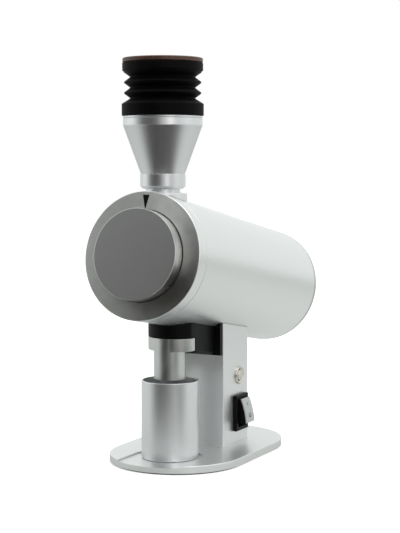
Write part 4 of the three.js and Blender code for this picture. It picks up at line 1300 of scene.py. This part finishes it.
class GRINDER_OT_inner_works(bpy.types.Operator):
    """Give the frame's own inner pieces and fasteners their finishes"""

    bl_idname = "grinder.inner_works"
    bl_label = "Inner works"

    def execute(self, context):
        by_finish = {
            plain_steel: ["column_screw", "saddle_bolt", "fixed_burr", "rotating_burr", "preload_spring",
                          "front_bearing", "rear_bearing", "burr_shaft", "auger_bolt", "motor_rotor",
                          "spout_screw"],
            satin_aluminium: ["saddle_block", "rear_ring", "burr_carrier", "grind_chamber",
                              "rotor_carrier", "auger", "motor_mount", "motor_end_cap"],
            black_moulding: ["motor_can", "bellows_head_ring"],
            black_rubber: ["shaft_seal"],
            copper: ["stator"],
            circuit_board: ["control_board"],
        }
        for node in frame["nodes"]:
            held = frame_node(node)
            if held.hide_render:
                continue
            names = [(len(start), finish) for finish, starts in by_finish.items()
                     for start in starts if node.startswith(start)]
            if not names:
                raise RuntimeError(f"no finish for {node}")
            surface = max(names, key=lambda found: found[0])[1]()
            held.data.materials.clear()
            held.data.materials.append(surface)
        return {"FINISHED"}


# ---- Studio ----------------------------------------------------------------------------------


class GRINDER_OT_studio(bpy.types.Operator):
    """Lay the floor, hang the lights and set up the camera"""

    bl_idname = "grinder.studio"
    bl_label = "Studio"

    def execute(self, context):
        clear_selection()
        bpy.ops.mesh.primitive_plane_add(size=12, location=(0, 0, 0))
        floor = bpy.context.object
        floor.name = floor.data.name = "studio_floor"
        paper = blank("white_paper_sweep")
        tree = paper.node_tree
        place = add_node(tree, "ShaderNodeTexCoord").outputs["Object"]
        fibre = noise(tree, place, per_mm(40), 3.0)
        seen = add_node(tree, "ShaderNodeLightPath").outputs["Is Camera Ray"]
        # Painted shade: reflections see the paper mid grey, and near black in front of the stand, while
        # the camera sees it white.
        apart = add_node(tree, "ShaderNodeVectorMath", {0: place}, operation="LENGTH").outputs["Value"]
        away = add_node(
            tree, "ShaderNodeMapRange", {0: apart, 1: 0.15, 2: 0.28}, interpolation_type="SMOOTHSTEP"
        ).outputs[0]
        facing = in_front(tree, place, 24, 82, 40)
        shaded = add_node(tree, "ShaderNodeMath", {0: away, 1: facing}, operation="MULTIPLY").outputs[0]
        mirrored = add_node(
            tree, "ShaderNodeMix", {0: shaded, 6: (0.6, 0.61, 0.6, 1), 7: (0.015, 0.012, 0.01, 1)},
            data_type="RGBA",
        ).outputs[2]
        plain_paper = shades(tree, fibre, linear("F8F8F7"), linear("FBFBFA"))
        tint = add_node(
            tree, "ShaderNodeMix", {0: seen, 6: mirrored, 7: plain_paper}, data_type="RGBA"
        ).outputs[2]
        glow = add_node(tree, "ShaderNodeMath", {0: seen, 1: 0.38}, operation="MULTIPLY").outputs[0]
        close_tree(tree, {
            "Base Color": tint,
            "Roughness": 0.95,
            "Specular IOR Level": 0.0,
            "Emission Color": (1, 1, 1, 1),
            "Emission Strength": glow,
        })
        floor.data.materials.append(paper)

        aim = Vector((0, 0.05, 0.2))
        softbox("Softbox Left", (-1.5, -0.35, 0.75), aim, (0.9, 1.5), 1.2, (1.0, 1.0, 1.0))
        softbox("Softbox Right", (1.5, 0.3, 0.8), aim, (1.0, 1.5), 0.8, (1.0, 1.0, 0.99))
        softbox("Softbox Key", (1.3, -1.1, 0.6), aim, (0.22, 1.4), 2.2, (1.0, 0.91, 0.93))
        softbox("Softbox Top", (0.1, 0.1, 1.5), aim, (1.4, 1.4), 11, (1, 1, 1))

        world = bpy.data.worlds.new("white_studio")
        world.use_nodes = True
        world.node_tree.nodes.clear()
        tree = world.node_tree
        # The room is white but for a dark gap low in front, which gives the metal its dark bands.
        way = add_node(tree, "ShaderNodeTexCoord").outputs["Generated"]
        height = add_node(tree, "ShaderNodeSeparateXYZ", {0: way}).outputs["Z"]
        low_down = add_node(
            tree, "ShaderNodeMapRange", {0: height, 1: 0.38, 2: 0.62, 3: 1.0, 4: 0.0},
            interpolation_type="SMOOTHSTEP",
        ).outputs[0]
        gap = add_node(
            tree, "ShaderNodeMath", {0: in_front(tree, way, -13, 42, 24), 1: low_down},
            operation="MULTIPLY",
        ).outputs[0]
        shade = add_node(
            tree, "ShaderNodeMix",
            {0: gap, 6: (0.91, 0.945, 0.93, 1), 7: (0.02, 0.018, 0.016, 1)},
            data_type="RGBA",
        ).outputs[2]
        path = add_node(tree, "ShaderNodeLightPath").outputs["Is Camera Ray"]
        room = add_node(tree, "ShaderNodeBackground", {0: shade, 1: 1.0})
        sweep = add_node(tree, "ShaderNodeBackground", {0: (1, 1, 1, 1), 1: 1.0})
        mix = add_node(tree, "ShaderNodeMixShader", {0: path, 1: room.outputs[0], 2: sweep.outputs[0]})
        add_node(tree, "ShaderNodeOutputWorld", {0: mix.outputs[0]})
        bpy.context.scene.world = world
        bpy.context.scene.view_settings.view_transform = "Standard"

        eye, target = Vector((0.6438, -1.1920, 0.3041)), Vector((0.02706, 0.01384, 0.20059))
        bpy.ops.object.camera_add(location=eye, rotation=turned_towards(eye, target))
        camera = bpy.context.object
        camera.data.sensor_fit = "HORIZONTAL"
        camera.data.sensor_width = 36
        camera.data.lens = 121.56
        camera.data.clip_start = 0.05
        bpy.context.scene.camera = camera
        return {"FINISHED"}


def in_front(tree, vector, middle_turn, outer, inner):
    """One within an angle of a heading (degrees from -Y towards +X), fading to none further off."""
    flat = add_node(
        tree, "ShaderNodeVectorMath", {0: vector, 1: (1, 1, 0)}, operation="MULTIPLY"
    ).outputs[0]
    level = add_node(tree, "ShaderNodeVectorMath", {0: flat}, operation="NORMALIZE").outputs[0]
    turn = math.radians(middle_turn)
    towards = add_node(
        tree, "ShaderNodeVectorMath", {0: level, 1: (math.sin(turn), -math.cos(turn), 0)},
        operation="DOT_PRODUCT",
    ).outputs["Value"]
    return add_node(
        tree, "ShaderNodeMapRange",
        {0: towards, 1: math.cos(math.radians(outer)), 2: math.cos(math.radians(inner))},
        interpolation_type="SMOOTHSTEP",
    ).outputs[0]


def turned_towards(at, target):
    """The turn that points a camera or a lamp from one place at another."""
    return (target - at).to_track_quat("-Z", "Y").to_euler()


def softbox(name, at, aim, size, power, tint):
    """A rectangular light at a place in metres, facing the aim."""
    at = Vector(at)
    bpy.ops.object.light_add(type="AREA", location=at, rotation=turned_towards(at, aim))
    lamp = bpy.context.object
    lamp.name = lamp.data.name = name
    lamp.data.shape = "RECTANGLE"
    lamp.data.size, lamp.data.size_y = size
    lamp.data.energy = power
    lamp.data.color = tint


# ---- Panel and registration ------------------------------------------------------------------

STEPS = (
    GRINDER_OT_base, GRINDER_OT_column, GRINDER_OT_start_button, GRINDER_OT_rocker,
    GRINDER_OT_mains_inlet, GRINDER_OT_drive_tube, GRINDER_OT_front_ring, GRINDER_OT_dial,
    GRINDER_OT_chute_housing, GRINDER_OT_spout, GRINDER_OT_cup, GRINDER_OT_inlet_boss,
    GRINDER_OT_hopper, GRINDER_OT_bellows, GRINDER_OT_lid, GRINDER_OT_inner_works, GRINDER_OT_studio,
)


class GRINDER_PT_panel(bpy.types.Panel):
    """The grinder's pieces, in the order they are made"""

    bl_label = "Burr Coffee Grinder"
    bl_idname = "GRINDER_PT_panel"
    bl_space_type = "VIEW_3D"
    bl_region_type = "UI"
    bl_category = "Grinder"

    def draw(self, context):
        for group in (context.scene.grinder_sizes, context.scene.grinder_colours):
            for name in group.bl_rna.properties.keys():
                if name not in {"rna_type", "name"}:
                    self.layout.prop(group, name)
        for step in STEPS:
            self.layout.operator(step.bl_idname)


CLASSES = (GrinderSizes, GrinderColours, *STEPS, GRINDER_PT_panel)


def register():
    for cls in CLASSES:
        bpy.utils.register_class(cls)
    bpy.types.Scene.grinder_sizes = PointerProperty(type=GrinderSizes)
    bpy.types.Scene.grinder_colours = PointerProperty(type=GrinderColours)


def unregister():
    del bpy.types.Scene.grinder_colours
    del bpy.types.Scene.grinder_sizes
    for cls in reversed(CLASSES):
        bpy.utils.unregister_class(cls)


def main():
    register()
    for step in STEPS:
        area, name = step.bl_idname.split(".")
        getattr(getattr(bpy.ops, area), name)()


if __name__ == "__main__":
    main()
